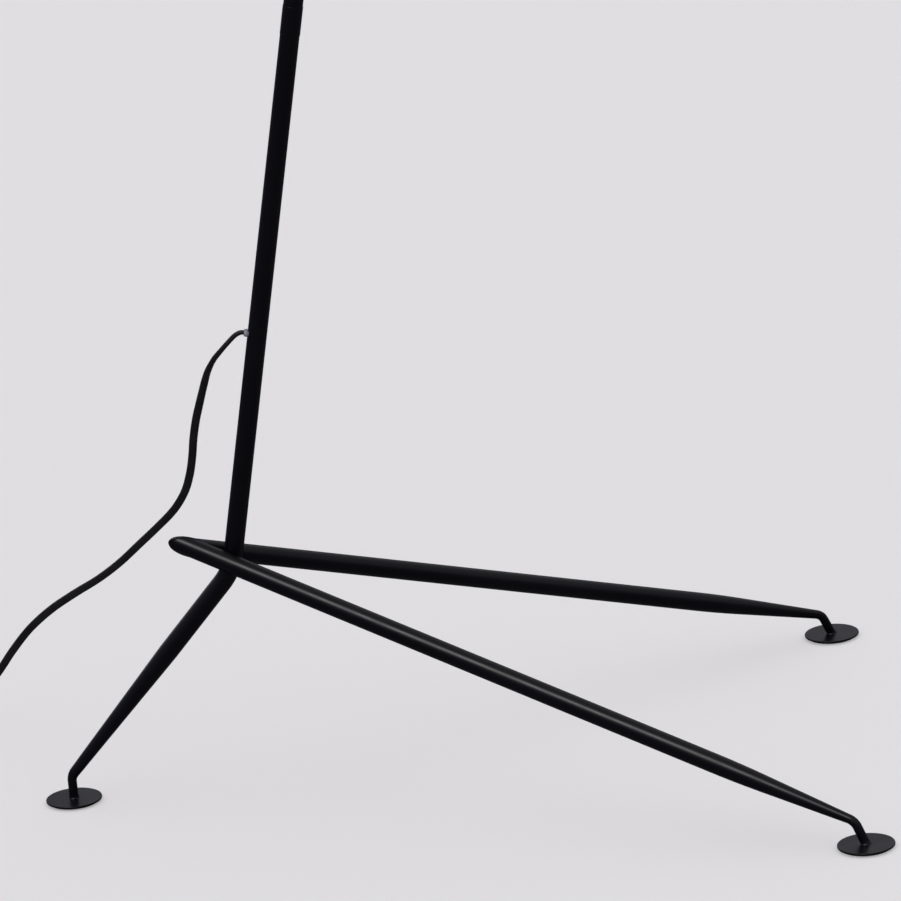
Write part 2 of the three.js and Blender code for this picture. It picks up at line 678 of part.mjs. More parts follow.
function switchBody() {
  const wall = CAP_R - CAP_WALL;
  const face = Math.sqrt(wall * wall - SWITCH_R * SWITCH_R) - GAP;
  const back = face - SWITCH_DEPTH;
  const body = alongX(rod(SWITCH_R, back, face)).translate(0, 0, SWITCH_Z);
  const buttonHole = alongX(rod(BUTTON_R + GAP, back + SWITCH_FLOOR, face + 1)).translate(0, 0, SWITCH_Z);
  return carve([body], [buttonHole]);
}

function switchButton() {
  const wall = CAP_R - CAP_WALL;
  const face = Math.sqrt(wall * wall - SWITCH_R * SWITCH_R) - GAP;
  const back = face - SWITCH_DEPTH + SWITCH_FLOOR + BUTTON_TRAVEL + 2 * GAP;
  const front = CAP_R + BUTTON_TRAVEL + BUTTON_PROUD;
  return alongX(turned([
    [0, back], [BUTTON_R, back], [BUTTON_R, front - 1], [BUTTON_R - 0.8, front], [0, front],
  ])).translate(0, 0, SWITCH_Z);
}

// ---------------------------------------------------------------- cord and plug
// A flat two-core cord's section, eight-sided.
function cordSection() {
  const [w, t, cut] = [CORD_W / 2, CORD_T / 2, CORD_T / 4];
  return new THREE.Shape([
    [w, -t + cut], [w, t - cut], [w - cut, t], [-w + cut, t],
    [-w, t - cut], [-w, -t + cut], [-w + cut, -t], [w - cut, -t],
  ].map(([x, y]) => new THREE.Vector2(x, y)));
}

function cordAlong(points, steps) {
  const path = new THREE.CatmullRomCurve3(points.map((p) => new THREE.Vector3(...p)), false, 'centripetal');
  return weld(new THREE.ExtrudeGeometry(cordSection(), { steps, extrudePath: path, bevelEnabled: false }));
}

// From the bushing's mouth, hanging back to the floor and in beside the coil.
const CORD_ROUTE = [
  [-144.2, 0, 392.2], [-147.2, 0, 392.1], [-151.6, 0.3, 389.7], [-157.8, 1, 383.9],
  [-164.8, 3, 376.4], [-170.8, 7, 368.8],
  [-177, 13, 357.2], [-182.3, 21, 341.4], [-187.2, 30, 325.3], [-191.9, 39, 309], [-196, 49, 290.6],
  [-199.5, 60, 269.9], [-203.9, 71, 251], [-210.4, 83, 232.8], [-221.7, 96, 214.1], [-238.2, 110, 195.4],
  [-254.6, 123, 178.3], [-273.7, 137, 158.8], [-293.9, 151, 141.4], [-316.5, 165, 125.4],
  [-339.2, 177, 108.6], [-359.7, 187, 89.6], [-376.8, 194, 68.9], [-390.1, 198, 50.7],
  [-403, 200.5, 35.5], [-418, 202, 22.5], [-435, 201.5, 12.5], [-452, 199.4, 7], [-469, 197.6, 5.2],
];
const TAIL_ROUTE = [
  [-513.4, 149, 4.8], [-513.4, 137, 4.8], [-510, 126, 5.4], [-505, 116.5, 6.3], [-502.2, 107.5, 6.9],
  [-502, 98.6, 7],
];

function coil() {
  const [inner, outer, edge] = [COIL_R - COIL_WIDTH / 2, COIL_R + COIL_WIDTH / 2, 1.5];
  return turned([
    [inner, edge], [inner + edge, 0], [outer - edge, 0], [outer, edge], [outer, COIL_HEIGHT - edge],
    [outer - edge, COIL_HEIGHT], [inner + edge, COIL_HEIGHT], [inner, COIL_HEIGHT - edge], [inner, edge],
  ], 24);
}

function roundedRectangle(width, height, radius) {
  const [w, h, r] = [width / 2, height / 2, radius];
  const corners = [
    [w - r, h - r, 0], [-w + r, h - r, 90], [-w + r, -h + r, 180], [w - r, -h + r, 270],
  ];
  return corners.flatMap(([x, y, from]) => [0, 45, 90].map((turn) => {
    const angle = (from + turn) * RADIAN;
    return new THREE.Vector2(x + r * Math.cos(angle), y + r * Math.sin(angle));
  }));
}

// The strap round the coil's turns, a band that stands across them.
function coilTie() {
  const inner = COIL_R - COIL_WIDTH / 2;
  const sagitta = (TIE_WIDTH * TIE_WIDTH) / (8 * inner);
  const slack = 2 * (GAP + sagitta);
  const outline = new THREE.Shape(
    roundedRectangle(COIL_WIDTH + slack + 2 * TIE_THICK, COIL_HEIGHT + 2 * (GAP + TIE_THICK), 3),
  );
  const opening = roundedRectangle(COIL_WIDTH + slack, COIL_HEIGHT + 2 * GAP, 1.2);
  outline.holes.push(new THREE.Path(opening.reverse()));
  const band = new THREE.ExtrudeGeometry(outline, { depth: TIE_WIDTH, steps: 1, bevelEnabled: false });
  return weld(band.translate(0, 0, -TIE_WIDTH / 2).rotateX(Math.PI / 2));
}

// A flat two-pin plug along +X: a tapered neck, then a body that widens to hold the pins.
function plugBody() {
  const half = PLUG_WIDTH / 2;
  const root = PLUG_NECK - 2;
  const front = PLUG_NECK + PLUG_LENGTH;
  const shoulder = PLUG_NECK + PLUG_LENGTH * 0.45;
  const bevel = 1.5;
  const shape = new THREE.Shape([
    [root, -5], [PLUG_NECK + 4, -8], [shoulder, -half + bevel], [front - bevel, -half + bevel],
    [front - bevel, half - bevel], [shoulder, half - bevel], [PLUG_NECK + 4, 8], [root, 5],
  ].map(([x, y]) => new THREE.Vector2(x, y)));
  const block = new THREE.ExtrudeGeometry(shape, {
    depth: PLUG_THICK - 2 * bevel, bevelThickness: bevel, bevelSize: bevel, bevelSegments: 2, steps: 1,
  }).translate(0, 0, -PLUG_THICK / 2 + bevel);
  const neck = alongX(turned([
    [0, 0], [CORD_W / 2 + 0.8, 0], [PLUG_THICK / 2 - 1, PLUG_NECK + 6], [0, PLUG_NECK + 6],
  ]));
  const holes = [1, -1].map((side) => pin(side, GAP, 0));
  return carve([block, neck], holes);
}

const PIN_ROOT = 9;

function pin(side, extra, tip) {
  const front = PLUG_NECK + PLUG_LENGTH;
  const outline = [
    [0, front - PIN_ROOT - extra], [PIN_R + extra, front - PIN_ROOT - extra],
    [PIN_R + extra, front + PIN_LENGTH - tip], [PIN_R + extra - tip, front + PIN_LENGTH],
    [0, front + PIN_LENGTH],
  ];
  return alongX(turned(outline, 16)).translate(0, (side * PIN_SPACING) / 2, 0);
}

// ---------------------------------------------------------------- the lamp
const lamp = new THREE.Group();
lamp.position.x = -MIDDLE_X;

function piece(parent, name, geometry, look, position = [0, 0, 0]) {
  const mesh = new THREE.Mesh(weld(geometry), new THREE.MeshStandardMaterial(look));
  mesh.name = name;
  mesh.position.set(...position);
  parent.add(mesh);
  return mesh;
}

function frameAt(parent, position, turnY = 0) {
  const group = new THREE.Group();
  group.position.set(position.x, position.y, position.z);
  group.rotation.y = turnY;
  parent.add(group);
  return group;
}

// stand
piece(lamp, 'stem_lower', lowerStem(), BLACK_PAINT);
piece(lamp, 'front_leg_left', frontLeg(1), BLACK_PAINT);
piece(lamp, 'front_leg_right', frontLeg(-1), BLACK_PAINT);
const feet = {
  left: [frontFoot[0], frontFoot[1], 0],
  right: [frontFoot[0], -frontFoot[1], 0],
  rear: [rearFoot[0], rearFoot[1], 0],
};
for (const [name, place] of Object.entries(feet)) {
  piece(lamp, `foot_disc_${name}`, disc(), BLACK_PAINT, place);
  piece(lamp, `foot_pad_${name}`, rod(PAD_R, 0, PAD_THICK, 24), FELT, place);
}

// post
const coupling = frameAt(lamp, onStem(COUPLING_AT), lean);
piece(coupling, 'stem_coupling', stemCoupling(), BLACK_PAINT);
const upperLength = STEM_LENGTH - COUPLING_AT - COUPLING_BAND;
const upperTube = ring(BORE_R, TUBE_R, 0, upperLength, TUBE_SIDES);
piece(coupling, 'stem_upper', upperTube, BLACK_PAINT, [0, 0, COUPLING_BAND]);
piece(frameAt(lamp, onStem(OUTLET_AT), lean), 'cord_bushing', cordBushing(), BUSH_PLASTIC);
const flexFrame = frameAt(lamp, onStem(OUTLET_AT + TUBE_R), lean);
const flexTop = STEM_LENGTH - OUTLET_AT - TUBE_R + ROOF_AT - 2 * GAP;
piece(flexFrame, 'stem_flex', rod(FLEX_R, 0, flexTop, 8), CORD_PLASTIC);

// swivel
const swivel = frameAt(lamp, onStem(STEM_LENGTH), lean);
piece(swivel, 'stem_ferrule', stemFerrule(), BRASS);
const nippleBottom = FERRULE_TOP - NIPPLE_SOCKET + GAP;
const nippleTop = SOCKET_AT + NIPPLE_REACH;
piece(swivel, 'swivel_nipple', ring(FLEX_HOLE, NIPPLE_R, nippleBottom, nippleTop), STEEL);
const washer = ring(NIPPLE_HOLE, SWIVEL_R - 0.5, WASHER_AT, WASHER_AT + WASHER_THICK);
piece(swivel, 'swivel_washer', washer, FIBRE);
const swivelNut = hexNut(NIPPLE_HOLE, SWIVEL_R - 2 - GAP, SOCKET_AT + SOCKET_FLOOR + GAP, NUT_H);
piece(swivel, 'swivel_nut', swivelNut, STEEL);
piece(swivel, 'arm_socket', armSocket(), BRASS);

// arm
piece(lamp, 'arm', arm(), BLACK_PAINT);
piece(lamp, 'arm_flex', armFlex(), CORD_PLASTIC);

// knuckle
const head = frameAt(lamp, PIVOT);
piece(head, 'knuckle_fork', fork(), BRASS);
piece(head, 'knuckle_tongue', tongue(), BRASS);
piece(head, 'knuckle_screw', knuckleScrew(), BRASS);
piece(head, 'knuckle_nut', knuckleNut(), BRASS);
piece(head, 'knuckle_washer_left', frictionWasher(1), FIBRE);
piece(head, 'knuckle_washer_right', frictionWasher(-1), FIBRE);

// head
const headNippleTop = COLLAR_BOTTOM + COLLAR_SOCKET - GAP;
piece(head, 'head_nipple', ring(HEAD_NIPPLE_BORE, HEAD_NIPPLE_R, NIPPLE_END, headNippleTop), STEEL);
piece(head, 'shade_cap', shadeCap(), BLACK_PAINT);
const capNutAt = CAP_TOP - CAP_WALL - GAP - SMALL_NUT_H;
piece(head, 'shade_cap_nut', hexNut(HEAD_NIPPLE_R + GAP, SMALL_NUT_R, capNutAt, SMALL_NUT_H), STEEL);
piece(head, 'switch_body', switchBody(), BLACK_PLASTIC);
const bezel = alongX(ring(BUTTON_R + GAP, BEZEL_R, CAP_R + GAP, CAP_R + BUTTON_TRAVEL));
piece(head, 'switch_bezel', bezel, BRASS, [0, 0, SWITCH_Z]);
piece(head, 'switch_button', switchButton(), BLACK_PLASTIC);
piece(head, 'lampholder_body', lampholderBody(), BLACK_PLASTIC);
piece(head, 'lampholder_nut', hexNut(HEAD_NIPPLE_R + GAP, SMALL_NUT_R, NIPPLE_END, SMALL_NUT_H), STEEL);
piece(head, 'lampholder_core', rod(HOLDER_BORE - GAP, CORE_TOP - CORE_H, CORE_TOP), CERAMIC);
piece(head, 'lampholder_contact', rod(5, CONTACT_TOP - CONTACT_H, CONTACT_TOP), BRASS);
const threadedShell = ring(LAMP_CAP_R + GAP, HOLDER_BORE - GAP, LAMP_CAP_BOTTOM + 4, CONTACT_TOP - 2);
piece(head, 'lampholder_shell', threadedShell, BRASS);
piece(head, 'shade', shade(), BLACK_PAINT);
const ringBore = HOLDER_SKIRT_R + GAP;
const ringTop = NECK_BOTTOM - GAP;
const clampRing = ring(ringBore, ringBore + RING_WALL, ringTop - RING_H, ringTop, 24);
piece(head, 'shade_ring', clampRing, BLACK_PLASTIC);
piece(head, 'bulb_contact', rod(4.5, TIP_TOP - 2.1, TIP_TOP), STEEL);
piece(head, 'bulb_cap', lampCap(), STEEL);
piece(head, 'bulb_glass', lampGlass(), OPAL_GLASS);

// cord, coil and plug, placed from the origin on the floor
const floor = frameAt(lamp, new THREE.Vector3(MIDDLE_X, 0, 0));
piece(floor, 'mains_cord', cordAlong(CORD_ROUTE, 56), CORD_PLASTIC);
piece(floor, 'cord_coil', coil(), CORD_PLASTIC, [...COIL_CENTRE, TIE_THICK + GAP]);
const tieAngle = -60 * RADIAN;
const tie = piece(floor, 'cord_tie', coilTie(), CORD_PLASTIC, [
  COIL_CENTRE[0] + COIL_R * Math.cos(tieAngle), COIL_CENTRE[1] + COIL_R * Math.sin(tieAngle),
  COIL_HEIGHT / 2 + TIE_THICK + GAP,
]);
tie.rotation.z = tieAngle;
piece(floor, 'cord_tail', cordAlong(TAIL_ROUTE, 8), CORD_PLASTIC);
const [tailX, tailY] = TAIL_ROUTE.at(-1);
const plug = frameAt(floor, new THREE.Vector3(tailX, tailY - GAP, PLUG_THICK / 2));
plug.rotation.z = -Math.PI / 2;
piece(plug, 'plug_body', plugBody(), BLACK_PLASTIC);
piece(plug, 'plug_pin_left', pin(1, 0, 0.8), STEEL);
piece(plug, 'plug_pin_right', pin(-1, 0, 0.8), STEEL);

export default lamp;
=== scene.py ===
# %% [markdown]
# # A tripod floor lamp, piece by piece
# The lamp is a leaning tube post whose foot is bent into the rear leg, two front legs that meet in a
# V behind it, three disc feet, and a head that swivels and tilts. The working model holds every size
# and joint. This lesson dresses it: each piece that shows is modelled again with soft edges, welds
# and finishes, at exactly the place where the working model has it.

# %% Load the working model
import json
import math

import bpy
from mathutils import Matrix, Vector


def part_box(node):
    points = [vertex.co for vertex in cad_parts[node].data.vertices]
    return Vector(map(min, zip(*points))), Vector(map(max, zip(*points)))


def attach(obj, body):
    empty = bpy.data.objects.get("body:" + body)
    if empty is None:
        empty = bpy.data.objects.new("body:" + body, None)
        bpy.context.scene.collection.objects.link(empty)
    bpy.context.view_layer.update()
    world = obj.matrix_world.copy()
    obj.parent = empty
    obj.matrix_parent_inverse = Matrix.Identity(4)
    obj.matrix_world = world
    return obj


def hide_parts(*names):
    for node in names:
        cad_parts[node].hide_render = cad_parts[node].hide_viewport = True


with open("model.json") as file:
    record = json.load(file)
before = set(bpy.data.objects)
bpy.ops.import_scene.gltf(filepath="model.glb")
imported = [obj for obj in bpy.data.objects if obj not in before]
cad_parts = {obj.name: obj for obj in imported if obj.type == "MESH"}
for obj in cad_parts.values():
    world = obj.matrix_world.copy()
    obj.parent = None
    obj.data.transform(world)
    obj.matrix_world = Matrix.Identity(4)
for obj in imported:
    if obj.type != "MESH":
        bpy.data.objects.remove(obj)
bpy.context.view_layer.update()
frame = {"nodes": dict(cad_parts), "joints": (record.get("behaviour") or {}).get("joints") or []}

MM = 0.001
joints = {joint["name"]: joint for joint in frame["joints"]}
print("pieces in the working model:", len(frame["nodes"]))

# %% [markdown]
# ## Camera, floor and light
# The lamp stands on a pale floor that fills the view. A long lens from far away keeps the legs from
# growing towards the viewer. The camera is turned a little about its own axis, as a hand-held or
# loosely levelled one is. It could be aimed with a constraint, but angles are easier to read.

# %% Camera
CAMERA_AT = Vector((0.1503, -5.6087, 2.0740))
CAMERA_TURN = math.radians(1.38)
CAMERA_DOWN = math.radians(17.76)
CAMERA_ROLL = math.radians(-5.18)


def aim(turn, down, roll):
    upright = Matrix.Rotation(turn, 4, "Z") @ Matrix.Rotation(math.pi / 2 - down, 4, "X")
    return upright @ Matrix.Rotation(roll, 4, "Z")


bpy.ops.object.select_all(action="DESELECT")
bpy.ops.object.camera_add()
camera = bpy.context.object
camera.name = "studio_camera"
camera.matrix_world = Matrix.Translation(CAMERA_AT) @ aim(CAMERA_TURN, CAMERA_DOWN, CAMERA_ROLL)
camera.data.lens = 288
camera.data.sensor_width = 36
camera.data.clip_end = 100
bpy.context.scene.camera = camera
print("camera height in metres:", round(camera.location.z, 3))

# %% [markdown]
# Black paint on a pale ground needs light that is wide and even, or the floor fills with shadows.
# One sun as wide as the sky does that. A second, smaller one from the front left draws the long
# line of light on the near leg, and throws no shadow, so that the ground stays clean.

# %% Floor and light
GROUND = (0.868, 0.853, 0.840, 1)
GROUND_IN_GLOSS = (0.11, 0.11, 0.12, 1)
SKY = (0.745, 0.730, 0.753, 1)


def add_sun(name, towards, strength, spread, shadow):
    bpy.ops.object.light_add(type="SUN")
    sun = bpy.context.object
    sun.name = name
    sun.rotation_euler = Vector(towards).to_track_quat("Z", "Y").to_euler()
    sun.data.energy = strength
    sun.data.angle = math.radians(spread)
    sun.data.use_shadow = shadow
    return sun


def studio_world():
    """Dim all round, and as pale as the floor where the camera sees past it."""
    world = bpy.data.worlds.new("studio")
    bpy.context.scene.world = world
    world.use_nodes = True
    tree = world.node_tree
    tree.nodes.clear()
    output = tree.nodes.new("ShaderNodeOutputWorld")
    mix = tree.nodes.new("ShaderNodeMixShader")
    rays = tree.nodes.new("ShaderNodeLightPath")
    around = tree.nodes.new("ShaderNodeBackground")
    around.inputs["Color"].default_value = (0.13, 0.128, 0.165, 1)
    seen = tree.nodes.new("ShaderNodeBackground")
    seen.inputs["Color"].default_value = SKY
    tree.links.new(rays.outputs["Is Camera Ray"], mix.inputs["Fac"])
    tree.links.new(around.outputs["Background"], mix.inputs[1])
    tree.links.new(seen.outputs["Background"], mix.inputs[2])
    tree.links.new(mix.outputs["Shader"], output.inputs["Surface"])


def pale_floor():
    """Pale to the eye, and dark where gloss mirrors it, as black cards before a lamp make it."""
    ground = bpy.data.materials.new("pale_floor")
    ground.use_nodes = True
    tree = ground.node_tree
    tree.nodes.clear()
    output = tree.nodes.new("ShaderNodeOutputMaterial")
    mix = tree.nodes.new("ShaderNodeMixShader")
    rays = tree.nodes.new("ShaderNodeLightPath")
    tree.links.new(rays.outputs["Is Glossy Ray"], mix.inputs["Fac"])
    for socket, tone in ((1, GROUND), (2, GROUND_IN_GLOSS)):
        matt = tree.nodes.new("ShaderNodeBsdfDiffuse")
        matt.inputs["Color"].default_value = tone
        tree.links.new(matt.outputs["BSDF"], mix.inputs[socket])
    tree.links.new(mix.outputs["Shader"], output.inputs["Surface"])
    return ground


bpy.ops.mesh.primitive_plane_add(size=200, location=(0, 0, -0.0004))
floor = bpy.context.object
floor.name = "studio_floor"
floor.data.materials.append(pale_floor())

studio_world()
add_sun("wide_overhead_light", (0.05, 0.1, 1), 0.4, 140, True)
add_sun("shadowless_fill_light", (0.05, 0.1, 1), 0.68, 140, False)
add_sun("front_left_light", (-0.30, -0.485, 0.82), 1.45, 22, False)
add_sun("back_left_light", (-0.55, 0.80, 0.16), 0.12, 26, False)
bpy.context.scene.view_settings.view_transform = "Standard"

# %% [markdown]
# ## Finishes
# Every finish is a small tree of nodes on the object's own coordinates: a broad noise that clouds
# the colour, a finer one that varies the gloss, and the finest as relief. Painted maps could do the
# same, but noise has no seams and keeps its size on every piece.


# %% A helper for finishes
def noise(tree, scale, detail, stretch=(1, 1, 1)):
    place = tree.nodes.new("ShaderNodeTexCoord")
    mapping = tree.nodes.new("ShaderNodeMapping")
    mapping.inputs["Scale"].default_value = stretch
    texture = tree.nodes.new("ShaderNodeTexNoise")
    texture.inputs["Scale"].default_value = scale
    texture.inputs["Detail"].default_value = detail
    tree.links.new(place.outputs["Object"], mapping.inputs["Vector"])
    tree.links.new(mapping.outputs["Vector"], texture.inputs["Vector"])
    return texture.outputs["Fac"]


def new_finish(name, tones, gloss, grain, cloud=30, stretch=(1, 1, 1)):
    """tones: two colours. gloss: lowest and highest roughness. grain: its scale and depth in mm."""
    finish = bpy.data.materials.new(name)
    finish.use_nodes = True
    tree = finish.node_tree
    shader = tree.nodes["Principled BSDF"]
    ramp = tree.nodes.new("ShaderNodeValToRGB")
    for stop, at, tone in zip(ramp.color_ramp.elements, (0.35, 0.65), tones):
        stop.position = at
        stop.color = (*tone, 1)
    tree.links.new(noise(tree, cloud, 3, stretch), ramp.inputs["Fac"])
    tree.links.new(ramp.outputs["Color"], shader.inputs["Base Color"])
    spread = tree.nodes.new("ShaderNodeMapRange")
    spread.inputs["From Min"].default_value = 0.3
    spread.inputs["From Max"].default_value = 0.7
    spread.inputs["To Min"].default_value = gloss[0]
    spread.inputs["To Max"].default_value = gloss[1]
    tree.links.new(noise(tree, cloud * 6, 4, stretch), spread.inputs["Value"])
    tree.links.new(spread.outputs["Result"], shader.inputs["Roughness"])
    relief = tree.nodes.new("ShaderNodeBump")
    relief.inputs["Strength"].default_value = 1.0
    relief.inputs["Distance"].default_value = grain[1] * MM
    tree.links.new(noise(tree, grain[0], 2, stretch), relief.inputs["Height"])
    tree.links.new(relief.outputs["Normal"], shader.inputs["Normal"])
    return finish, shader


# %% Paints
def satin_black():
    """Baked satin lacquer, near black with a breath of violet, and very fine orange peel."""
    tones = (0.0014, 0.0014, 0.0028), (0.0022, 0.0022, 0.0042)
    finish, shader = new_finish("satin_black_lacquer", tones, (0.29, 0.36), (420, 0.006), 9)
    shader.inputs["Specular IOR Level"].default_value = 0.22
    return finish


def white_lining():
    """Matt white stoving enamel inside the shade."""
    tones = (0.80, 0.79, 0.76), (0.84, 0.83, 0.80)
    finish, shader = new_finish("white_enamel", tones, (0.50, 0.62), (500, 0.010), 12)
    shader.inputs["Specular IOR Level"].default_value = 0.35
    return finish


BLACK = satin_black()
WHITE = white_lining()
print("paints:", BLACK.name, WHITE.name)


# %% Metals
def turned_brass():
    """Lathe-turned brass under clear lacquer: fine lines round it and a slow change of tone."""
    tones = (0.62, 0.42, 0.16), (0.70, 0.50, 0.21)
    finish, shader = new_finish("turned_brass", tones, (0.22, 0.34), (260, 0.010), 40, (1, 1, 14))
    shader.inputs["Metallic"].default_value = 1.0
    shader.inputs["Coat Weight"].default_value = 0.3
    return finish


def plated_steel():
    """Zinc-plated steel, a little cloudy."""
    tones = (0.50, 0.50, 0.51), (0.60, 0.60, 0.61)
    finish, shader = new_finish("plated_steel", tones, (0.24, 0.36), (300, 0.008), 50, (1, 1, 8))
    shader.inputs["Metallic"].default_value = 1.0
    return finish


BRASS = turned_brass()
STEEL = plated_steel()
print("metals:", BRASS.name, STEEL.name)


# %% Plastics, felt, fibre, ceramic and glass
def wool_felt():
    """Pressed wool, with a sheen from its loose fibres."""
    tones = (0.006, 0.006, 0.007), (0.020, 0.020, 0.022)
    finish, shader = new_finish("black_felt", tones, (0.90, 1.0), (2400, 0.25), 500)
    shader.inputs["Sheen Weight"].default_value = 0.4
    return finish


def vulcanised_fibre():
    """Red-brown pressed paper fibre, dull and mottled."""
    tones = (0.050, 0.022, 0.014), (0.085, 0.040, 0.026)
    return new_finish("vulcanised_fibre", tones, (0.60, 0.80), (900, 0.03), 180)[0]


def milky_plastic():
    """The outlet's bushing: unpigmented plastic that looks lilac grey against black."""
    tones = (0.17, 0.165, 0.205), (0.22, 0.21, 0.26)
    finish, shader = new_finish("milky_plastic", tones, (0.35, 0.45), (500, 0.01), 120)
    shader.inputs["Subsurface Weight"].default_value = 0.3
    shader.inputs["Subsurface Scale"].default_value = 0.002
    return finish


def cord_sheath():
    """Extruded vinyl: dark grey, with a fine grain and a dull skin."""
    tones = (0.0062, 0.0056, 0.0072), (0.0105, 0.0095, 0.0120)
    finish, shader = new_finish("cord_vinyl", tones, (0.42, 0.58), (700, 0.015), 60)
    shader.inputs["Specular IOR Level"].default_value = 0.3
    return finish


def moulded_black():
    """Spark-eroded mould texture on black plastic."""
    tones = (0.0075, 0.0075, 0.0090), (0.0120, 0.0120, 0.0135)
    finish, shader = new_finish("moulded_black_plastic", tones, (0.40, 0.52), (1600, 0.03), 90)
    shader.inputs["Specular IOR Level"].default_value = 0.4
    return finish


def glazed_ceramic():
    """Cream porcelain, as inside a lampholder."""
    tones = (0.66, 0.63, 0.57), (0.74, 0.71, 0.65)
    return new_finish("ceramic", tones, (0.35, 0.50), (800, 0.02), 200)[0]


def opal_glass():
    """White flashed glass: light sinks in a little, and the skin is polished."""
    tones = (0.84, 0.83, 0.80), (0.88, 0.87, 0.85)
    finish, shader = new_finish("opal_glass", tones, (0.10, 0.16), (90, 0.02), 25)
    shader.inputs["Subsurface Weight"].default_value = 0.5
    shader.inputs["Subsurface Scale"].default_value = 0.004
    shader.inputs["Coat Weight"].default_value = 0.5
    return finish


FELT = wool_felt()
FIBRE = vulcanised_fibre()
MILKY = milky_plastic()
VINYL = cord_sheath()
MOULDED = moulded_black()
CERAMIC = glazed_ceramic()
OPAL = opal_glass()
print("finishes in all:", len(bpy.data.materials))


# %% [markdown]
# ## The cord
# The cord is a flat twin cable, 6.8 by 3.8 mm. It leaves the post through a bushing, falls behind the
# lamp and twists as it goes, because flat cable only bends easily across its thin side. The rest is
# wound on edge into a coil with its plug beside it. A curve with a bevel would make a round cord
# quickly, but a flat one has to show which way its wide side faces, so its rings are set one by one.

# %% The route, from the outlet to the floor and from the coil to the plug
CORD_WIDE = 6.8 * MM
CORD_THIN = 3.8 * MM
CORD_ROUTE = [
    (-0.1442, 0, 0.3922), (-0.1472, 0, 0.3921), (-0.1516, 0.0003, 0.3897), (-0.1578, 0.001, 0.3839),
    (-0.1648, 0.003, 0.3764), (-0.1708, 0.007, 0.3688), (-0.177, 0.013, 0.3572), (-0.1823, 0.021, 0.3414),
    (-0.1872, 0.030, 0.3253), (-0.1919, 0.039, 0.309), (-0.196, 0.049, 0.2906), (-0.1995, 0.060, 0.2699),
    (-0.2039, 0.071, 0.251), (-0.2104, 0.083, 0.2328), (-0.2217, 0.096, 0.2141), (-0.2382, 0.110, 0.1954),
    (-0.2546, 0.123, 0.1783), (-0.2737, 0.137, 0.1588), (-0.2939, 0.151, 0.1414), (-0.3165, 0.165, 0.1254),
    (-0.3392, 0.177, 0.1086), (-0.3597, 0.187, 0.0896), (-0.3768, 0.194, 0.0689), (-0.3901, 0.198, 0.0507),
    (-0.403, 0.2005, 0.0355), (-0.418, 0.202, 0.0225), (-0.435, 0.2010, 0.0125), (-0.452, 0.1950, 0.0068),
]
TAIL_ROUTE = [
    (-0.5134, 0.149, 0.0048), (-0.5134, 0.137, 0.0048), (-0.510, 0.126, 0.0054),
    (-0.505, 0.1165, 0.0063), (-0.5022, 0.1075, 0.0069), (-0.502, 0.0986, 0.007), (-0.502, 0.090, 0.007),
]
# How far the wide side has turned from pointing away from the viewer, at some of the route's points.
TWIST = [
    (-1, 0), (3, 2), (5, 12), (7, 54), (9, 88), (11, 92), (13, 76), (15, 64), (18, 60), (20, 84),
    (22, 70), (27, 78),
]
AWAY = Vector((0, 0.952, -0.305))


def smooth_path(points, per_span=5):
    """Points on one smooth curve through the given ones, each with its place in the list."""
    points = [Vector(p) for p in points]
    ends = [points[0] * 2 - points[1], *points, points[-1] * 2 - points[-2]]
    path = []
    for i in range(1, len(ends) - 2):
        before, here, after, beyond = ends[i - 1:i + 3]
        for j in range(per_span):
            t = j / per_span
            bend = (after - before) * t + (before * 2 - here * 5 + after * 4 - beyond) * t ** 2
            bend += (here * 3 - before - after * 3 + beyond) * t ** 3
            path.append((i - 1 + t, here + bend / 2))
    return path + [(len(points) - 1, points[-1])]


def ease(t):
    t = min(max(t, 0.0), 1.0)
    return t * t * (3 - 2 * t)


# %% The coil's turns
coil_low, coil_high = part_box("cord_coil")
COIL_CENTRE = Vector(((coil_low.x + coil_high.x) / 2, (coil_low.y + coil_high.y) / 2, 0))
SLACK = 0.25 * MM
OUTER_LANE = (coil_high.x - coil_low.x) / 2 - CORD_THIN / 2 - SLACK / 2
LANE = CORD_THIN + SLACK
LOWER = coil_low.z + CORD_WIDE / 2
UPPER = coil_high.z - CORD_WIDE / 2
LANES = [
    (OUTER_LANE, LOWER), (OUTER_LANE - LANE, LOWER), (OUTER_LANE - 2 * LANE, LOWER),
    (OUTER_LANE - 2 * LANE, UPPER), (OUTER_LANE - LANE, UPPER), (OUTER_LANE, UPPER), (OUTER_LANE, UPPER),
]
COIL_TURNS = 6.25
POINTS_PER_TURN = 48


def coil_point(turn):
    """Counter-clockwise from the far side: inwards on the lower layer and out again on the upper."""
    lane = int(turn)
    radius, height = LANES[lane]
    next_radius, next_height = LANES[min(lane + 1, 6)]
    share = ease((turn - lane - 0.75) / 0.25)
    radius += (next_radius - radius) * share
    height += (next_height - height) * share
    leaving = turn - 6
    radius += (COIL_CENTRE.x - OUTER_LANE - TAIL_ROUTE[0][0]) * ease((leaving - 0.05) / 0.13)
    height += (TAIL_ROUTE[0][2] - UPPER) * ease((leaving - 0.10) / 0.15)
    angle = math.pi / 2 + turn * 2 * math.pi
    return COIL_CENTRE + Vector((radius * math.cos(angle), radius * math.sin(angle), height))


FIRST_TURN = 0.03
steps = int((COIL_TURNS - FIRST_TURN) * POINTS_PER_TURN)
coil = [coil_point(FIRST_TURN + (COIL_TURNS - FIRST_TURN) * i / steps) for i in range(steps)]
print("coil: outer turn's radius in mm", round(OUTER_LANE / MM, 1), "points", len(coil))

# %% The whole cord
post_axis = Vector(joints["arm_swivel"]["axis"])
bushing_way = Vector((-post_axis.z, 0, post_axis.x))
inside_bushing = Vector(CORD_ROUTE[0]) - bushing_way * 3.2 * MM
route = smooth_path([inside_bushing, *CORD_ROUTE])
tail = smooth_path(TAIL_ROUTE)


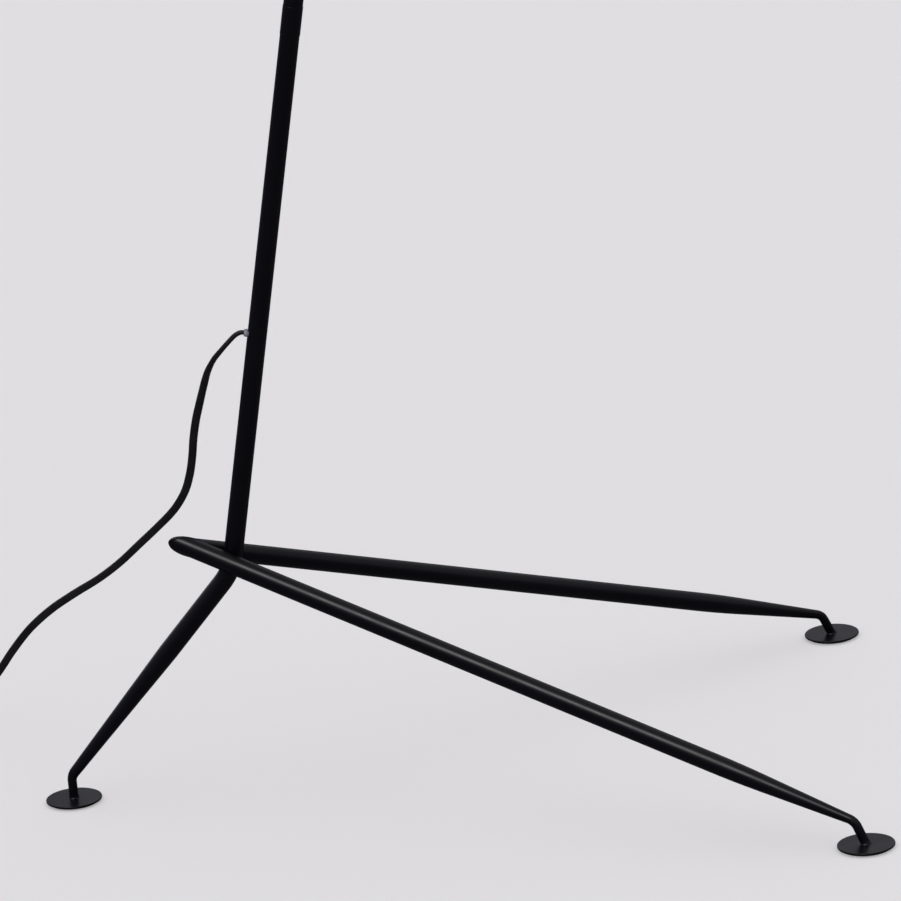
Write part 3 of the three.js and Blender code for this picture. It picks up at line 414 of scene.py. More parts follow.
def twist_at(place):
    for (a, low), (b, high) in zip(TWIST, TWIST[1:]):
        if place <= b:
            return math.radians(low + (high - low) * ease((place - a) / (b - a)))
    return math.radians(TWIST[-1][1])


def across(way, wish):
    return (wish - way * wish.dot(way)).normalized()


def cord_line():
    """The cord's centreline with the wish for its wide side at each point."""
    line = [(point, ("twist", place - 1)) for place, point in route]
    line += [(point, ("stand", 0)) for point in coil]
    line += [(point, ("lay", place / (len(TAIL_ROUTE) - 1))) for place, point in tail]
    return line


def wide_side(way, wish):
    kind, value = wish
    if kind == "twist":
        first = across(way, AWAY)
        angle = twist_at(value)
        return first * math.cos(angle) + way.cross(first) * math.sin(angle)
    turn = ease(value) * math.pi / 2
    return across(way, Vector((math.sin(turn), 0, -math.cos(turn))))


def twin_section():
    """Two round cores side by side with a shallow groove between them."""
    core = CORD_THIN / 2
    reach = CORD_WIDE / 2 - core
    lobe = [math.radians(-80 + 160 * i / 8) for i in range(9)]
    right = [(reach + core * math.cos(a), core * math.sin(a)) for a in lobe]
    left = [(-x, -y) for x, y in right]
    groove = core * 0.80
    return [*right, (0, groove), *left, (0, -groove)]


def skin(name, line, section):
    """A closed tube of quads over rings of the section."""
    centres = [point for point, _ in line]
    vertices = []
    for i, (centre, wish) in enumerate(line):
        way = (centres[min(i + 1, len(line) - 1)] - centres[max(i - 1, 0)]).normalized()
        wide = wide_side(way, wish)
        thin = way.cross(wide)
        vertices += [centre + wide * x + thin * y for x, y in section]
    n = len(section)
    faces = [list(range(n))[::-1], list(range(len(vertices) - n, len(vertices)))]
    for i in range(len(line) - 1):
        for k in range(n):
            a, b = i * n + k, i * n + (k + 1) % n
            faces.append([a, b, b + n, a + n])
    mesh = bpy.data.meshes.new(name)
    mesh.from_pydata(vertices, [], faces)
    piece = bpy.data.objects.new(name, mesh)
    bpy.context.scene.collection.objects.link(piece)
    return piece, centres


def select_only(piece):
    if bpy.context.object and bpy.context.object.mode != "OBJECT":
        bpy.ops.object.mode_set(mode="OBJECT")
    bpy.ops.object.select_all(action="DESELECT")
    piece.select_set(True)
    bpy.context.view_layer.objects.active = piece


def tidy_normals(piece, merge=0.001 * MM):
    select_only(piece)
    bpy.ops.object.mode_set(mode="EDIT")
    bpy.ops.mesh.select_all(action="SELECT")
    bpy.ops.mesh.remove_doubles(threshold=merge)
    bpy.ops.mesh.normals_make_consistent(inside=False)
    bpy.ops.object.mode_set(mode="OBJECT")


def shade(piece, angle=32):
    select_only(piece)
    bpy.ops.object.shade_smooth_by_angle(angle=math.radians(angle))


flex, flex_path = skin("flex_cord", cord_line(), twin_section())
tidy_normals(flex)
shade(flex, 50)

# %% [markdown]
# ## Helpers that work as hands do
# Nearly every hard piece of this lamp is turned on a lathe or is a tube that is bent and drawn to
# a taper. Both can be made in edit mode from one circle: extrude it, move it, turn it and resize it,
# ring after ring. A lathe modifier or a bevelled curve would be shorter, but rings give full control
# of where the mesh is fine and where it is plain.


# %% Rings
def start_ring(name, radius, at, tilt=0.0, sides=48):
    if bpy.context.object and bpy.context.object.mode != "OBJECT":
        bpy.ops.object.mode_set(mode="OBJECT")
    bpy.ops.object.select_all(action="DESELECT")
    bpy.ops.mesh.primitive_circle_add(vertices=sides, radius=radius, location=at, rotation=(0, tilt, 0))
    piece = bpy.context.object
    piece.name = name
    bpy.ops.object.transform_apply(location=True, rotation=True, scale=True)
    bpy.ops.object.mode_set(mode="EDIT")
    return piece


def pull_ring(step, centre, grow, turn=0.0):
    """Extrudes the ring by a step, then turns it about Y and resizes it where it now is."""
    bpy.ops.mesh.extrude_region_move(TRANSFORM_OT_translate={"value": step})
    if abs(turn) > 1e-9:
        bpy.ops.transform.rotate(value=-turn, orient_axis="Y", center_override=centre)
    if any(abs(k - 1) > 1e-9 for k in grow):
        bpy.ops.transform.resize(value=grow, center_override=centre)


def close_ends(piece, bridge=False):
    """Fills the two open ends, or joins them to each other when the outline closes on itself."""
    bpy.ops.mesh.select_all(action="DESELECT")
    bpy.ops.mesh.select_mode(type="EDGE")
    bpy.ops.mesh.select_non_manifold(
        extend=False, use_wire=False, use_boundary=True, use_multi_face=False,
        use_non_contiguous=False, use_verts=False,
    )
    if bridge:
        bpy.ops.mesh.bridge_edge_loops()
    else:
        bpy.ops.mesh.fill_holes(sides=0)
    bpy.ops.mesh.select_mode(type="VERT")
    tidy_normals(piece)
    shade(piece)


def drawn(name, rings, sides=48, bridge=False):
    """A piece pulled up along Z through rings of (half width, half depth, height) in mm."""
    wide, deep, height = rings[0]
    piece = start_ring(name, MM, (0, 0, height * MM), sides=sides)
    bpy.ops.transform.resize(value=(wide, deep, 1), center_override=(0, 0, height * MM))
    for (w0, d0, h0), (w1, d1, h1) in zip(rings, rings[1:]):
        pull_ring((0, 0, (h1 - h0) * MM), (0, 0, h1 * MM), (w1 / w0, d1 / d0, 1))
    close_ends(piece, bridge)
    return piece


# %% Turned pieces with eased corners
def eased(outline, radius):
    """Rounds each corner of an outline, with one more point either side to keep the flats flat."""
    points = [Vector(p) for p in outline]
    result = [points[0]]
    for before, corner, after in zip(points, points[1:], points[2:]):
        to_back, to_front = before - corner, after - corner
        size = min(radius, to_back.length * 0.35, to_front.length * 0.35)
        start = corner + to_back.normalized() * size
        end = corner + to_front.normalized() * size
        result.append(corner + to_back.normalized() * size * 1.35)
        for i in range(5):
            t = i / 4
            result.append(start * (1 - t) ** 2 + corner * 2 * t * (1 - t) + end * t ** 2)
        result.append(corner + to_front.normalized() * size * 1.35)
    return [tuple(p) for p in [*result, points[-1]]]


def turned(name, outline, edge=0.4, sides=48, bridge=False):
    """A lathe piece about Z from its (radius, height) outline in mm, with its corners eased."""
    rings = [(max(r, 0.02), max(r, 0.02), h) for r, h in eased(outline, edge)]
    return drawn(name, rings, sides, bridge)


def set_down(piece, at, lean=0.0, turn=0.0, tip=0.0):
    """Leans, turns and moves a finished shape to its place, and keeps that place in its mesh."""
    select_only(piece)
    piece.rotation_euler = (tip, lean, turn)
    piece.location = at
    bpy.ops.object.transform_apply(location=True, rotation=True, scale=True)
    return piece


# %% Bent tubes
def bent_route(start, heading, steps, spacing=30.0, per_bend=14):
    """Ring places (x, z, heading, distance) along straights (length,) and bends (turn, radius)."""
    x, z = start
    distance = 0.0
    marks = [(x, z, heading, 0.0)]
    for step in steps:
        turn, radius = (0.0, 0.0) if len(step) == 1 else step
        count = per_bend if turn else max(1, round(step[0] / spacing))
        part = turn / count
        arc = abs(part) * radius if turn else step[0] / count
        chord = 2 * radius * math.sin(abs(part) / 2) if turn else arc
        for _ in range(count):
            x += chord * math.cos(heading + part / 2)
            z -= chord * math.sin(heading + part / 2)
            heading += part
            distance += arc
            marks.append((x, z, heading, distance))
    return marks


def bent_tube(name, marks, radius_at, sides=40):
    """A bar that follows the marks in the XZ plane, its radius set by the distance along it."""
    x, z, heading, _ = marks[0]
    piece = start_ring(name, radius_at(0) * MM, (x * MM, 0, z * MM), math.pi / 2 + heading, sides)
    for (x0, z0, h0, s0), (x1, z1, h1, s1) in zip(marks, marks[1:]):
        grow = radius_at(s1) / radius_at(s0)
        pull_ring(((x1 - x0) * MM, 0, (z1 - z0) * MM), (x1 * MM, 0, z1 * MM), (grow,) * 3, h1 - h0)
    close_ends(piece)
    return piece


# %% Dressing a piece
def dress(piece, body, finish, slot, *nodes):
    """Gives a piece its finish and the body that it moves with, and hides the plain pieces it stands for."""
    piece.data.materials.clear()
    piece.data.materials.append(finish)
    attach(piece, body)
    if nodes:
        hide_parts(*nodes)
    low = Vector(piece.bound_box[0])
    high = Vector(piece.bound_box[6])
    size = [round(v / MM, 1) for v in high - low]
    print(f"{piece.name}: {len(piece.data.polygons)} faces, size in mm {size}")
    return piece


def copy_of(piece, name):
    select_only(piece)
    bpy.ops.object.duplicate()
    twin = bpy.context.object
    twin.name = name
    return twin


# %% [markdown]
# ## Post and rear leg
# One 16 mm tube makes the lower post and the rear leg: it comes down from its joint, bends over
# a 50 mm former and tapers to the thickness of a rod above the foot, where a tight bend stands it
# upright. The real one is swaged, hammered smaller in a machine, and a smooth taper shows that.

# %% Sizes of the stand
TUBE_R = 8.0
ROD_R = 3.8
LEAN = math.atan2(post_axis.x, post_axis.z)
POST_LENGTH = 1310.0
CORNER_BEND_R = 50.0
FOOT_BEND_R = 12.0
REAR_SLOPE = math.radians(48.32)
REAR_BEND_Z = 22.1
REAR_TAPER = 136.0
REAR_TAPER_END_R = 4.55
COUPLING_AT = 457.0
COUPLING_BAND = 24.0

post_top = Vector(joints["arm_swivel"]["pos_m"]) / MM
corner = post_top - post_axis * POST_LENGTH
disc_low, disc_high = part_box("foot_disc_rear")
DISC_TOP = disc_high.z / MM


def on_post(distance):
    return corner + post_axis * distance


# %% Lower post
def lower_post():
    bend = math.pi / 2 - LEAN - REAR_SLOPE
    bend_cut = CORNER_BEND_R * math.tan(bend / 2)
    foot_turn = math.pi / 2 - REAR_SLOPE
    foot_cut = FOOT_BEND_R * math.tan(foot_turn / 2)
    leg = (corner.z - REAR_BEND_Z) / math.sin(REAR_SLOPE)
    straight = leg - bend_cut - foot_cut
    top = on_post(COUPLING_AT)
    # The route is laid towards +X and turned about at the end, because the rear leg runs to -X.
    steps = [
        (COUPLING_AT - bend_cut,), (-bend, CORNER_BEND_R), (straight - REAR_TAPER + foot_cut,),
        (REAR_TAPER - foot_cut - FOOT_BEND_R / 4,), (FOOT_BEND_R / 4,), (foot_turn, FOOT_BEND_R),
        (REAR_BEND_Z - foot_cut - DISC_TOP + 0.2,),
    ]
    marks = bent_route((corner.x - top.x, top.z), math.pi / 2 - LEAN, steps, spacing=12)
    neck_from = COUPLING_AT - bend_cut + bend * CORNER_BEND_R + straight - FOOT_BEND_R / 4
    taper_from = neck_from + FOOT_BEND_R / 4 + foot_cut - REAR_TAPER

    def radius_at(s):
        share = min(max((s - taper_from) / (neck_from - taper_from), 0), 1)
        tapered = TUBE_R + (REAR_TAPER_END_R - TUBE_R) * share
        return tapered + (ROD_R - tapered) * ease((s - neck_from) / FOOT_BEND_R)

    piece = bent_tube("post_and_rear_leg", marks, radius_at)
    return set_down(piece, (corner.x * MM, 0, 0), turn=math.pi)


dress(lower_post(), "stand", BLACK, "black_paint", "stem_lower")

# %% [markdown]
# ## Front legs
# The two front legs start behind the post in the point of a V, pass it on either side and run down
# to the front feet. Each is tapered to the same thin rod. One leg is modelled, cut off at the middle
# plane as a mitre, and mirrored for the other side.

# %% Sizes of the front legs
LEG_DROP = math.radians(18.37)
LEG_SPREAD = math.radians(25.75)
CROSSING_ABOVE = 10.45
COPE = 1.44
FRONT_BEND_Z = 21.1
FRONT_ROD_SLOPE = math.radians(66)
FRONT_TAPER = 125.0
leg_way = Vector((
    math.cos(LEG_DROP) * math.cos(LEG_SPREAD), math.cos(LEG_DROP) * math.sin(LEG_SPREAD), -math.sin(LEG_DROP)
))
v_way = Vector((leg_way.x, 0, leg_way.z)).normalized()
side_way = post_axis.cross(leg_way).normalized()
crossing = corner + Vector((math.tan(LEAN) * CROSSING_ABOVE, 0, CROSSING_ABOVE))
v_point = crossing - v_way * ((2 * TUBE_R - COPE) / abs(v_way.dot(side_way)))


# %% Left front leg, then its mirror copy
def front_leg():
    length = (v_point.z - FRONT_BEND_Z) / math.sin(LEG_DROP)
    behind = 2 * TUBE_R / math.sin(LEG_SPREAD)
    turn = FRONT_ROD_SLOPE - LEG_DROP
    cut = FOOT_BEND_R * math.tan(turn / 2)
    disc_middle = DISC_TOP - 1
    last = (FRONT_BEND_Z - disc_middle) / math.sin(FRONT_ROD_SLOPE) - cut
    start = (-behind * math.cos(LEG_DROP), v_point.z + behind * math.sin(LEG_DROP))
    taper_from = behind + length - FRONT_TAPER
    taper_to = behind + length - cut
    shoulder = 0.35
    steps = [
        (behind,), (length - FRONT_TAPER,), (FRONT_TAPER - cut,), (turn, FOOT_BEND_R), (last,),
    ]
    marks = bent_route(start, LEG_DROP, steps, spacing=10)

    def radius_at(s):
        t = min(max((s - taper_from) / (taper_to - taper_from), 0), 1)
        share = t * t / (2 * shoulder) if t < shoulder else t - shoulder / 2
        return TUBE_R + (ROD_R - TUBE_R) * share / (1 - shoulder / 2)

    piece = bent_tube("front_leg_near_left", marks, radius_at)
    return set_down(piece, (v_point.x * MM, 0, 0), turn=LEG_SPREAD)


def mitre(piece):
    """Cuts the leg off at the lamp's middle plane."""
    select_only(piece)
    bpy.ops.object.mode_set(mode="EDIT")
    bpy.ops.mesh.select_all(action="SELECT")
    bpy.ops.mesh.bisect(plane_co=(0, 0, 0), plane_no=(0, 1, 0), use_fill=True, clear_inner=True)
    bpy.ops.object.mode_set(mode="OBJECT")
    tidy_normals(piece)
    shade(piece)


def mirrored(piece, name):
    twin = copy_of(piece, name)
    twin.scale.y = -1
    bpy.ops.object.transform_apply(location=True, rotation=True, scale=True)
    tidy_normals(twin)
    return twin


leg = front_leg()
leg.name = "front_leg_tube_left"
mitre(leg)
other_leg = mirrored(leg, "front_leg_tube_right")
dress(leg, "stand", BLACK, "black_paint", "front_leg_left")
dress(other_leg, "stand", BLACK, "black_paint", "front_leg_right")

# %% [markdown]
# ## Welds
# The V is welded along its mitre and ground, and each leg is welded to the post where it passes it.
# A weld is a bead that fills the corner: a thin closed tube laid along the line where two
# surfaces meet, with faint ripples from the torch. Small rings are set along the line, and the last
# is joined to the first. A bevelled curve would do too, but could not ripple.


# %% Beads
def bead(name, line, radius, ripples=0):
    """A closed bead along a closed line of points, in mm."""
    count = len(line)
    sides = 12
    piece_line = []
    for i, point in enumerate(line):
        way = (line[(i + 1) % count] - line[i - 1]).normalized()
        first = across(way, side_way)
        second = way.cross(first)
        size = radius * (1 + 0.06 * math.cos(2 * math.pi * ripples * i / count)) if ripples else radius
        for k in range(sides):
            angle = 2 * math.pi * k / sides
            piece_line.append((point + (first * math.cos(angle) + second * math.sin(angle)) * size) * MM)
    faces = []
    for i in range(count):
        for k in range(sides):
            a, b = i * sides + k, i * sides + (k + 1) % sides
            shift = ((i + 1) % count - i) * sides
            faces.append([a, b, b + shift, a + shift])
    mesh = bpy.data.meshes.new(name)
    mesh.from_pydata(piece_line, [], faces)
    piece = bpy.data.objects.new(name, mesh)
    bpy.context.scene.collection.objects.link(piece)
    tidy_normals(piece)
    shade(piece, 60)
    return piece


def mitre_line(inset=0.9):
    """The ellipse in which a leg's tube meets the middle plane, drawn in a little."""
    upward = Vector((-v_way.z, 0, v_way.x))
    reach = TUBE_R / leg_way.y - inset * 2
    return [
        v_point + v_way * reach * math.cos(a) + upward * (TUBE_R - inset) * math.sin(a)
        for a in (2 * math.pi * i / 96 for i in range(96))
    ]


def passing_line(side):
    """The saddle-shaped loop in which a leg's tube meets the post's."""
    along_leg = Vector((leg_way.x, side * leg_way.y, leg_way.z))
    out = Vector((side_way.x, side * side_way.y, side_way.z))
    if out.y * side < 0:
        out = -out
    half_gap = TUBE_R - COPE / 2
    contact = crossing + out * half_gap
    size = math.sqrt(2 * TUBE_R * COPE)
    line = []
    for i in range(64):
        a = 2 * math.pi * i / 64
        p, q = size * math.cos(a), size * math.sin(a)
        rise = (math.sqrt(TUBE_R ** 2 - p * p) - math.sqrt(TUBE_R ** 2 - q * q)) / 2
        line.append(contact + along_leg * p + post_axis * q + out * rise)
    return line


dress(bead("mitre_weld", mitre_line(), 1.5), "stand", BLACK, "black_paint")
for side, name in ((1, "left"), (-1, "right")):
    weld = bead(f"post_weld_{name}", passing_line(side), 1.2, ripples=14)
    dress(weld, "stand", BLACK, "black_paint")

# %% [markdown]
# ## Feet
# Each rod stands on a 47 mm disc stamped from sheet, welded on with a small fillet, and a felt pad is
# glued below. The disc is turned once and copied, and its edge is eased as a tumbled blank's is.

# %% Discs, pads and fillets
disc_r = (disc_high.x - disc_low.x) / 2 / MM
disc_base = disc_low.z / MM


def disc_place(name):
    low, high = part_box(f"foot_disc_{name}")
    return Vector(((low.x + high.x) / 2, (low.y + high.y) / 2, 0))


feet = {name: disc_place(name) for name in ("left", "right", "rear")}


def foot_fillet(name, slope):
    """A weld that flares from the rod to the disc, leaning with the rod."""
    rings = [(0.0, 5.2), (0.2, 4.75), (0.6, 4.35), (1.2, 4.1), (2.2, 3.9), (3.4, ROD_R)]
    slide = 1 / math.tan(slope)
    height, radius = rings[0]
    piece = start_ring(name, radius * MM, (0, 0, height * MM), sides=40)
    for (h0, r0), (h1, r1) in zip(rings, rings[1:]):
        step = (-(h1 - h0) * slide * MM, 0, (h1 - h0) * MM)
        pull_ring(step, (-h1 * slide * MM, 0, h1 * MM), (r1 / r0, r1 / r0, 1))
    close_ends(piece)
    return piece


disc_outline = [(0, disc_base), (disc_r, disc_base), (disc_r, DISC_TOP), (0, DISC_TOP)]
first_disc = turned("disc_rear", disc_outline, edge=0.7, sides=96)
pad_low, pad_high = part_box("foot_pad_rear")
pad_r = (pad_high.x - pad_low.x) / 2 / MM
first_pad = turned("felt_rear", [(0, 0.02), (pad_r, 0.02), (pad_r, 1.0), (0, 1.0)], edge=0.3, sides=72)
turns = {
    "rear": (math.pi, math.pi / 2),
    "left": (LEG_SPREAD, FRONT_ROD_SLOPE),
    "right": (-LEG_SPREAD, FRONT_ROD_SLOPE),
}
for name, place in feet.items():
    plate = copy_of(first_disc, f"disc_foot_{name}")
    dress(set_down(plate, place), "stand", BLACK, "black_paint", f"foot_disc_{name}")
    felt = copy_of(first_pad, f"felt_pad_{name}")
    dress(set_down(felt, place), "stand", FELT, "felt", f"foot_pad_{name}")
    turn, slope = turns[name]
    fillet = foot_fillet(f"foot_weld_{name}", slope)
    set_down(fillet, place + Vector((0, 0, (DISC_TOP - 0.05) * MM)), turn=turn)
    dress(fillet, "stand", BLACK, "black_paint")
bpy.data.objects.remove(first_disc)
bpy.data.objects.remove(first_pad)

# %% [markdown]
# ## Coupling, upper post and bushing
# The post comes apart at a screwed coupling so that the lamp fits a box. Its band stands out a third
# of a millimetre. The bushing is an oval collar of milky plastic with a flat cord through it.


# %% Coupling and upper post
def coupling_band():
    band = TUBE_R + 0.28
    low, high = 0.02, COUPLING_BAND - 0.02
    outline = [(TUBE_R - 2.5, low), (band, low), (band, high), (TUBE_R - 2.5, high)]
    return turned("post_coupling", outline, edge=0.24)


def upper_post():
    length = POST_LENGTH - COUPLING_AT - COUPLING_BAND
    ends = [(TUBE_R - 2, 0), (TUBE_R, 0), (TUBE_R, length), (TUBE_R - 2, length)]
    return turned("post_upper", ends, edge=0.3)


band_at = on_post(COUPLING_AT) * MM
dress(set_down(coupling_band(), band_at, LEAN), "stand", BLACK, "black_paint", "stem_coupling")
upper_at = on_post(COUPLING_AT + COUPLING_BAND) * MM
dress(set_down(upper_post(), upper_at, LEAN), "stand", BLACK, "black_paint", "stem_upper")


# %% Bushing
OUTLET_AT = 204.3


def outlet_bushing():
    """Turned upright, flattened to an oval and laid against the post."""
    bore, neck, head = 3.65, 4.1, 4.8
    piece = turned("outlet_bushing", [
        (bore, 7.0), (neck, 7.0), (neck, 8.2), (head, 8.2), (head, 9.2), (neck, 10.9), (bore, 10.9),
    ], edge=0.3, bridge=True)
    select_only(piece)
    piece.scale = ((CORD_THIN / MM / 2 + 0.8) / neck, 1, 1)
    bpy.ops.object.transform_apply(location=True, rotation=True, scale=True)
    return set_down(piece, on_post(OUTLET_AT) * MM, LEAN - math.pi / 2)


dress(outlet_bushing(), "stand", MILKY, "clear_plastic", "cord_bushing")

# %% [markdown]
# ## Plug and tie
# The cord ends in a flat two-pin plug with a ribbed strain relief, lying beside the coil, and a soft
# strap holds the turns. The plug is one ring drawn out through its sections, round at the cord and
# flat at the pins.

# %% Plug
plug_low, plug_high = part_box("plug_body")
plug_at = Vector(((plug_low.x + plug_high.x) / 2, plug_high.y, (plug_low.z + plug_high.z) / 2))
plug_length = (plug_high.y - plug_low.y) / MM


def plug_shell():
    rings = []
    for i in range(9):
        height = i * 2.6
        core = 4.1 + height * 0.07
        for rise, swell in ((0.0, 0), (0.5, 0.45), (1.3, 0.45), (1.8, 0)):
            rings.append((core + swell, core + swell, height + rise))
    body = [(7, 5.6, 25), (8.6, 6.0, 28), (12, 6.5, 34), (15.2, 6.9, 40), (16.8, 7, 46), (17, 7, 52)]
    front = [(17, 7, plug_length - 3), (16.6, 6.6, plug_length - 1.2), (15.6, 5.8, plug_length - 0.2),
             (14.8, 5.2, plug_length), (13, 4.4, plug_length)]
    return drawn("two_pin_plug", rings + body + front, sides=56)


plug = set_down(plug_shell(), plug_at, tip=math.pi / 2)
shade(plug, 45)
dress(plug, "stand", MOULDED, "black_plastic", "plug_body")
for name in ("left", "right"):
    low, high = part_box(f"plug_pin_{name}")
    radius = (high.x - low.x) / 2 / MM
    length = (high.y - low.y) / MM
    pin = turned(f"pin_{name}", [(0, 0), (radius, 0), (radius, length), (0, length)], edge=1.2, sides=32)
    at = Vector(((low.x + high.x) / 2, high.y, (low.z + high.z) / 2))
    dress(set_down(pin, at, tip=math.pi / 2), "stand", STEEL, "steel", f"plug_pin_{name}")


# %% Tie
def coil_strap():
    """A flat band folded round the turns: a plate, its inside cut away, drawn out to its width."""
    low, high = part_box("cord_coil")
    angle = math.radians(-60)
    middle_r = OUTER_LANE - LANE
    across_coil = 3 * LANE + 2.6 * MM
    tall = high.z - low.z + 1.8 * MM
    width = 9 * MM
    at = COIL_CENTRE + Vector((middle_r * math.cos(angle), middle_r * math.sin(angle), 0))
    bpy.ops.object.select_all(action="DESELECT")
    bpy.ops.mesh.primitive_plane_add(size=1, location=(0, 0, 0))
    piece = bpy.context.object
    piece.name = "coil_strap"
    piece.scale = (across_coil, tall, 1)
    bpy.ops.object.transform_apply(location=True, rotation=True, scale=True)
    bpy.ops.object.mode_set(mode="EDIT")
    bpy.ops.mesh.select_all(action="SELECT")
    bpy.ops.mesh.bevel(offset=2.4 * MM, segments=5, affect="VERTICES")
    bpy.ops.mesh.select_all(action="SELECT")
    bpy.ops.mesh.inset(thickness=0.7 * MM)
    bpy.ops.mesh.delete(type="FACE")
    bpy.ops.mesh.select_all(action="SELECT")
    bpy.ops.mesh.extrude_region_move(TRANSFORM_OT_translate={"value": (0, 0, width)})
    bpy.ops.mesh.select_all(action="SELECT")
    bpy.ops.transform.translate(value=(0, 0, -width / 2))
    bpy.ops.object.mode_set(mode="OBJECT")
    tidy_normals(piece)
    bpy.ops.object.modifier_add(type="BEVEL")
    piece.modifiers[0].width = 0.2 * MM
    piece.modifiers[0].segments = 2
    bpy.ops.object.modifier_apply(modifier=piece.modifiers[0].name)
    set_down(piece, (0, 0, 0), tip=math.pi / 2)
    set_down(piece, at + Vector((0, 0, (low.z + high.z) / 2)), turn=angle)
    shade(piece)
    return piece


strap = dress(coil_strap(), "stand", VINYL, "cord_plastic", "cord_tie")

dress(flex, "stand", VINYL, "cord_plastic", "mains_cord", "cord_coil", "cord_tail")

# %% [markdown]
# ## Swivel and arm
# On the post sits a brass ferrule. A fibre washer lets the arm's socket turn on it, and the arm, a
# 10 mm tube, rises, hooks over and comes down plumb to the knuckle. All are lathe work except the
# arm, which is one bent tube.

# %% Swivel
FERRULE_TOP = 14.3
SOCKET_AT = 15.9
SOCKET_TOP = 45.9
SOCKET_ROOF = 8.0
SWIVEL_R = 9.5
SWIVEL_BORE = 5.3
NIPPLE_HOLE = 4.0
BORE_FLOOR = 6.0


def ferrule():
    return turned("brass_ferrule", [
        (NIPPLE_HOLE, 0.03), (SWIVEL_R, 0.03), (SWIVEL_R, 3.2),
        (SWIVEL_R - 0.5, 3.6), (SWIVEL_R - 0.5, 4.4), (SWIVEL_R, 4.8),
        (SWIVEL_R, FERRULE_TOP), (SWIVEL_BORE, FERRULE_TOP), (SWIVEL_BORE, BORE_FLOOR),
        (NIPPLE_HOLE, BORE_FLOOR),
    ], edge=0.35, sides=64)


def arm_socket():
    grooves = []
    for height in (20.0, 22.0):
        grooves += [
            (SWIVEL_R, height), (SWIVEL_R - 0.45, height + 0.25), (SWIVEL_R - 0.45, height + 0.7),
            (SWIVEL_R, height + 0.95),
        ]
    return turned("brass_arm_socket", [
        (SWIVEL_BORE, SOCKET_AT), (SWIVEL_R, SOCKET_AT), *grooves, (SWIVEL_R, SOCKET_TOP - 4),
        (SWIVEL_R - 3.2, SOCKET_TOP), (SWIVEL_BORE, SOCKET_TOP),
        (SWIVEL_BORE, SOCKET_TOP - BORE_FLOOR),
    ], edge=0.5, sides=64)


top_at = post_top * MM
dress(set_down(ferrule(), top_at, LEAN), "stand", BRASS, "brass", "stem_ferrule")
washer_outline = [(SWIVEL_BORE, 14.35), (9.2, 14.35), (9.2, 15.85), (SWIVEL_BORE, 15.85)]
washer = turned("swivel_fibre_washer", washer_outline, 0.2, 48, bridge=True)
dress(set_down(washer, top_at, LEAN), "stand", FIBRE, "fibre", "swivel_washer")
dress(set_down(arm_socket(), top_at, LEAN), "swivel_arm", BRASS, "brass", "arm_socket")

# %% Arm
ARM_R = 5.0
HOOK_R = 70.0
ARM_RISE = 27.0
ARM_DROP = 16.0
arm_start = post_top + post_axis * (SOCKET_TOP - SOCKET_ROOF + 0.3)
arm_steps = [(SOCKET_ROOF + ARM_RISE,), (math.pi - LEAN, HOOK_R), (ARM_DROP,)]
arm_marks = bent_route((arm_start.x, arm_start.z), LEAN - math.pi / 2, arm_steps, spacing=8, per_bend=48)
arm_tube = bent_tube("hook_arm", arm_marks, lambda s: ARM_R, sides=36)
dress(arm_tube, "swivel_arm", BLACK, "black_paint", "arm")

# %% [markdown]
# ## Knuckle
# The knuckle is a fork with a tongue between its cheeks, clamped by a screw and an acorn nut over two
# fibre washers. The fork starts as a lathe piece; its slot and its rounded cheeks are cut by booleans,
# as a milling cutter would, and the edges are then bevelled.


# %% Cutting helper
def cut(piece, cutter, operation="DIFFERENCE"):
    select_only(piece)
    bpy.ops.object.modifier_add(type="BOOLEAN")
    modifier = piece.modifiers[-1]
    modifier.operation = operation
    modifier.solver = "EXACT"
    modifier.object = cutter
    bpy.ops.object.modifier_apply(modifier=modifier.name)
    bpy.data.objects.remove(cutter)


def block(size, at):
    """A cutter's path: a plain block, used up by the cut."""
    bpy.ops.object.select_all(action="DESELECT")
    bpy.ops.mesh.primitive_cube_add(size=1, location=[v * MM for v in at])
    piece = bpy.context.object
    piece.scale = [v * MM for v in size]
    bpy.ops.object.transform_apply(location=True, rotation=True, scale=True)
    return piece


def crossbar(radius, half_length, sides=64):
    """A round bar along Y through the pivot."""
    bar = drawn("crossbar", [(radius, radius, -half_length), (radius, radius, half_length)], sides)
    return set_down(bar, (0, 0, 0), tip=math.pi / 2)


def stretch_half(piece, upper, distance, squeeze=1.0):
    """Moves the upper or lower half of a round bar away, which leaves a bar with one round end."""
    select_only(piece)
    bpy.ops.object.mode_set(mode="EDIT")
    bpy.ops.mesh.select_all(action="DESELECT")
    bpy.ops.object.mode_set(mode="OBJECT")
    for vertex in piece.data.vertices:
        vertex.select = vertex.co.z * (1 if upper else -1) > -0.001 * MM
    bpy.ops.object.mode_set(mode="EDIT")
    bpy.ops.transform.translate(value=(0, 0, distance * MM))
    bpy.ops.transform.resize(value=(squeeze, 1, 0), center_override=(0, 0, distance * MM))
    bpy.ops.object.mode_set(mode="OBJECT")


def ease_edges(piece, width=0.35, angle=40):
    tidy_normals(piece, 0.01 * MM)
    bpy.ops.object.modifier_add(type="BEVEL")
    modifier = piece.modifiers[-1]
    modifier.width = width * MM
    modifier.segments = 3
    modifier.limit_method = "ANGLE"
    modifier.angle_limit = math.radians(angle)
    modifier.harden_normals = False
    bpy.ops.object.modifier_apply(modifier=modifier.name)
    shade(piece, 40)


# %% Fork and tongue
pivot = Vector(joints["shade_tilt"]["pos_m"]) / MM
pivot_at = pivot * MM
FORK_R = 8.5
FORK_TOP = 26.0
SLOT_TOP = 9.0
SLOT_HALF = 4.9
SCREW_R = 2.5


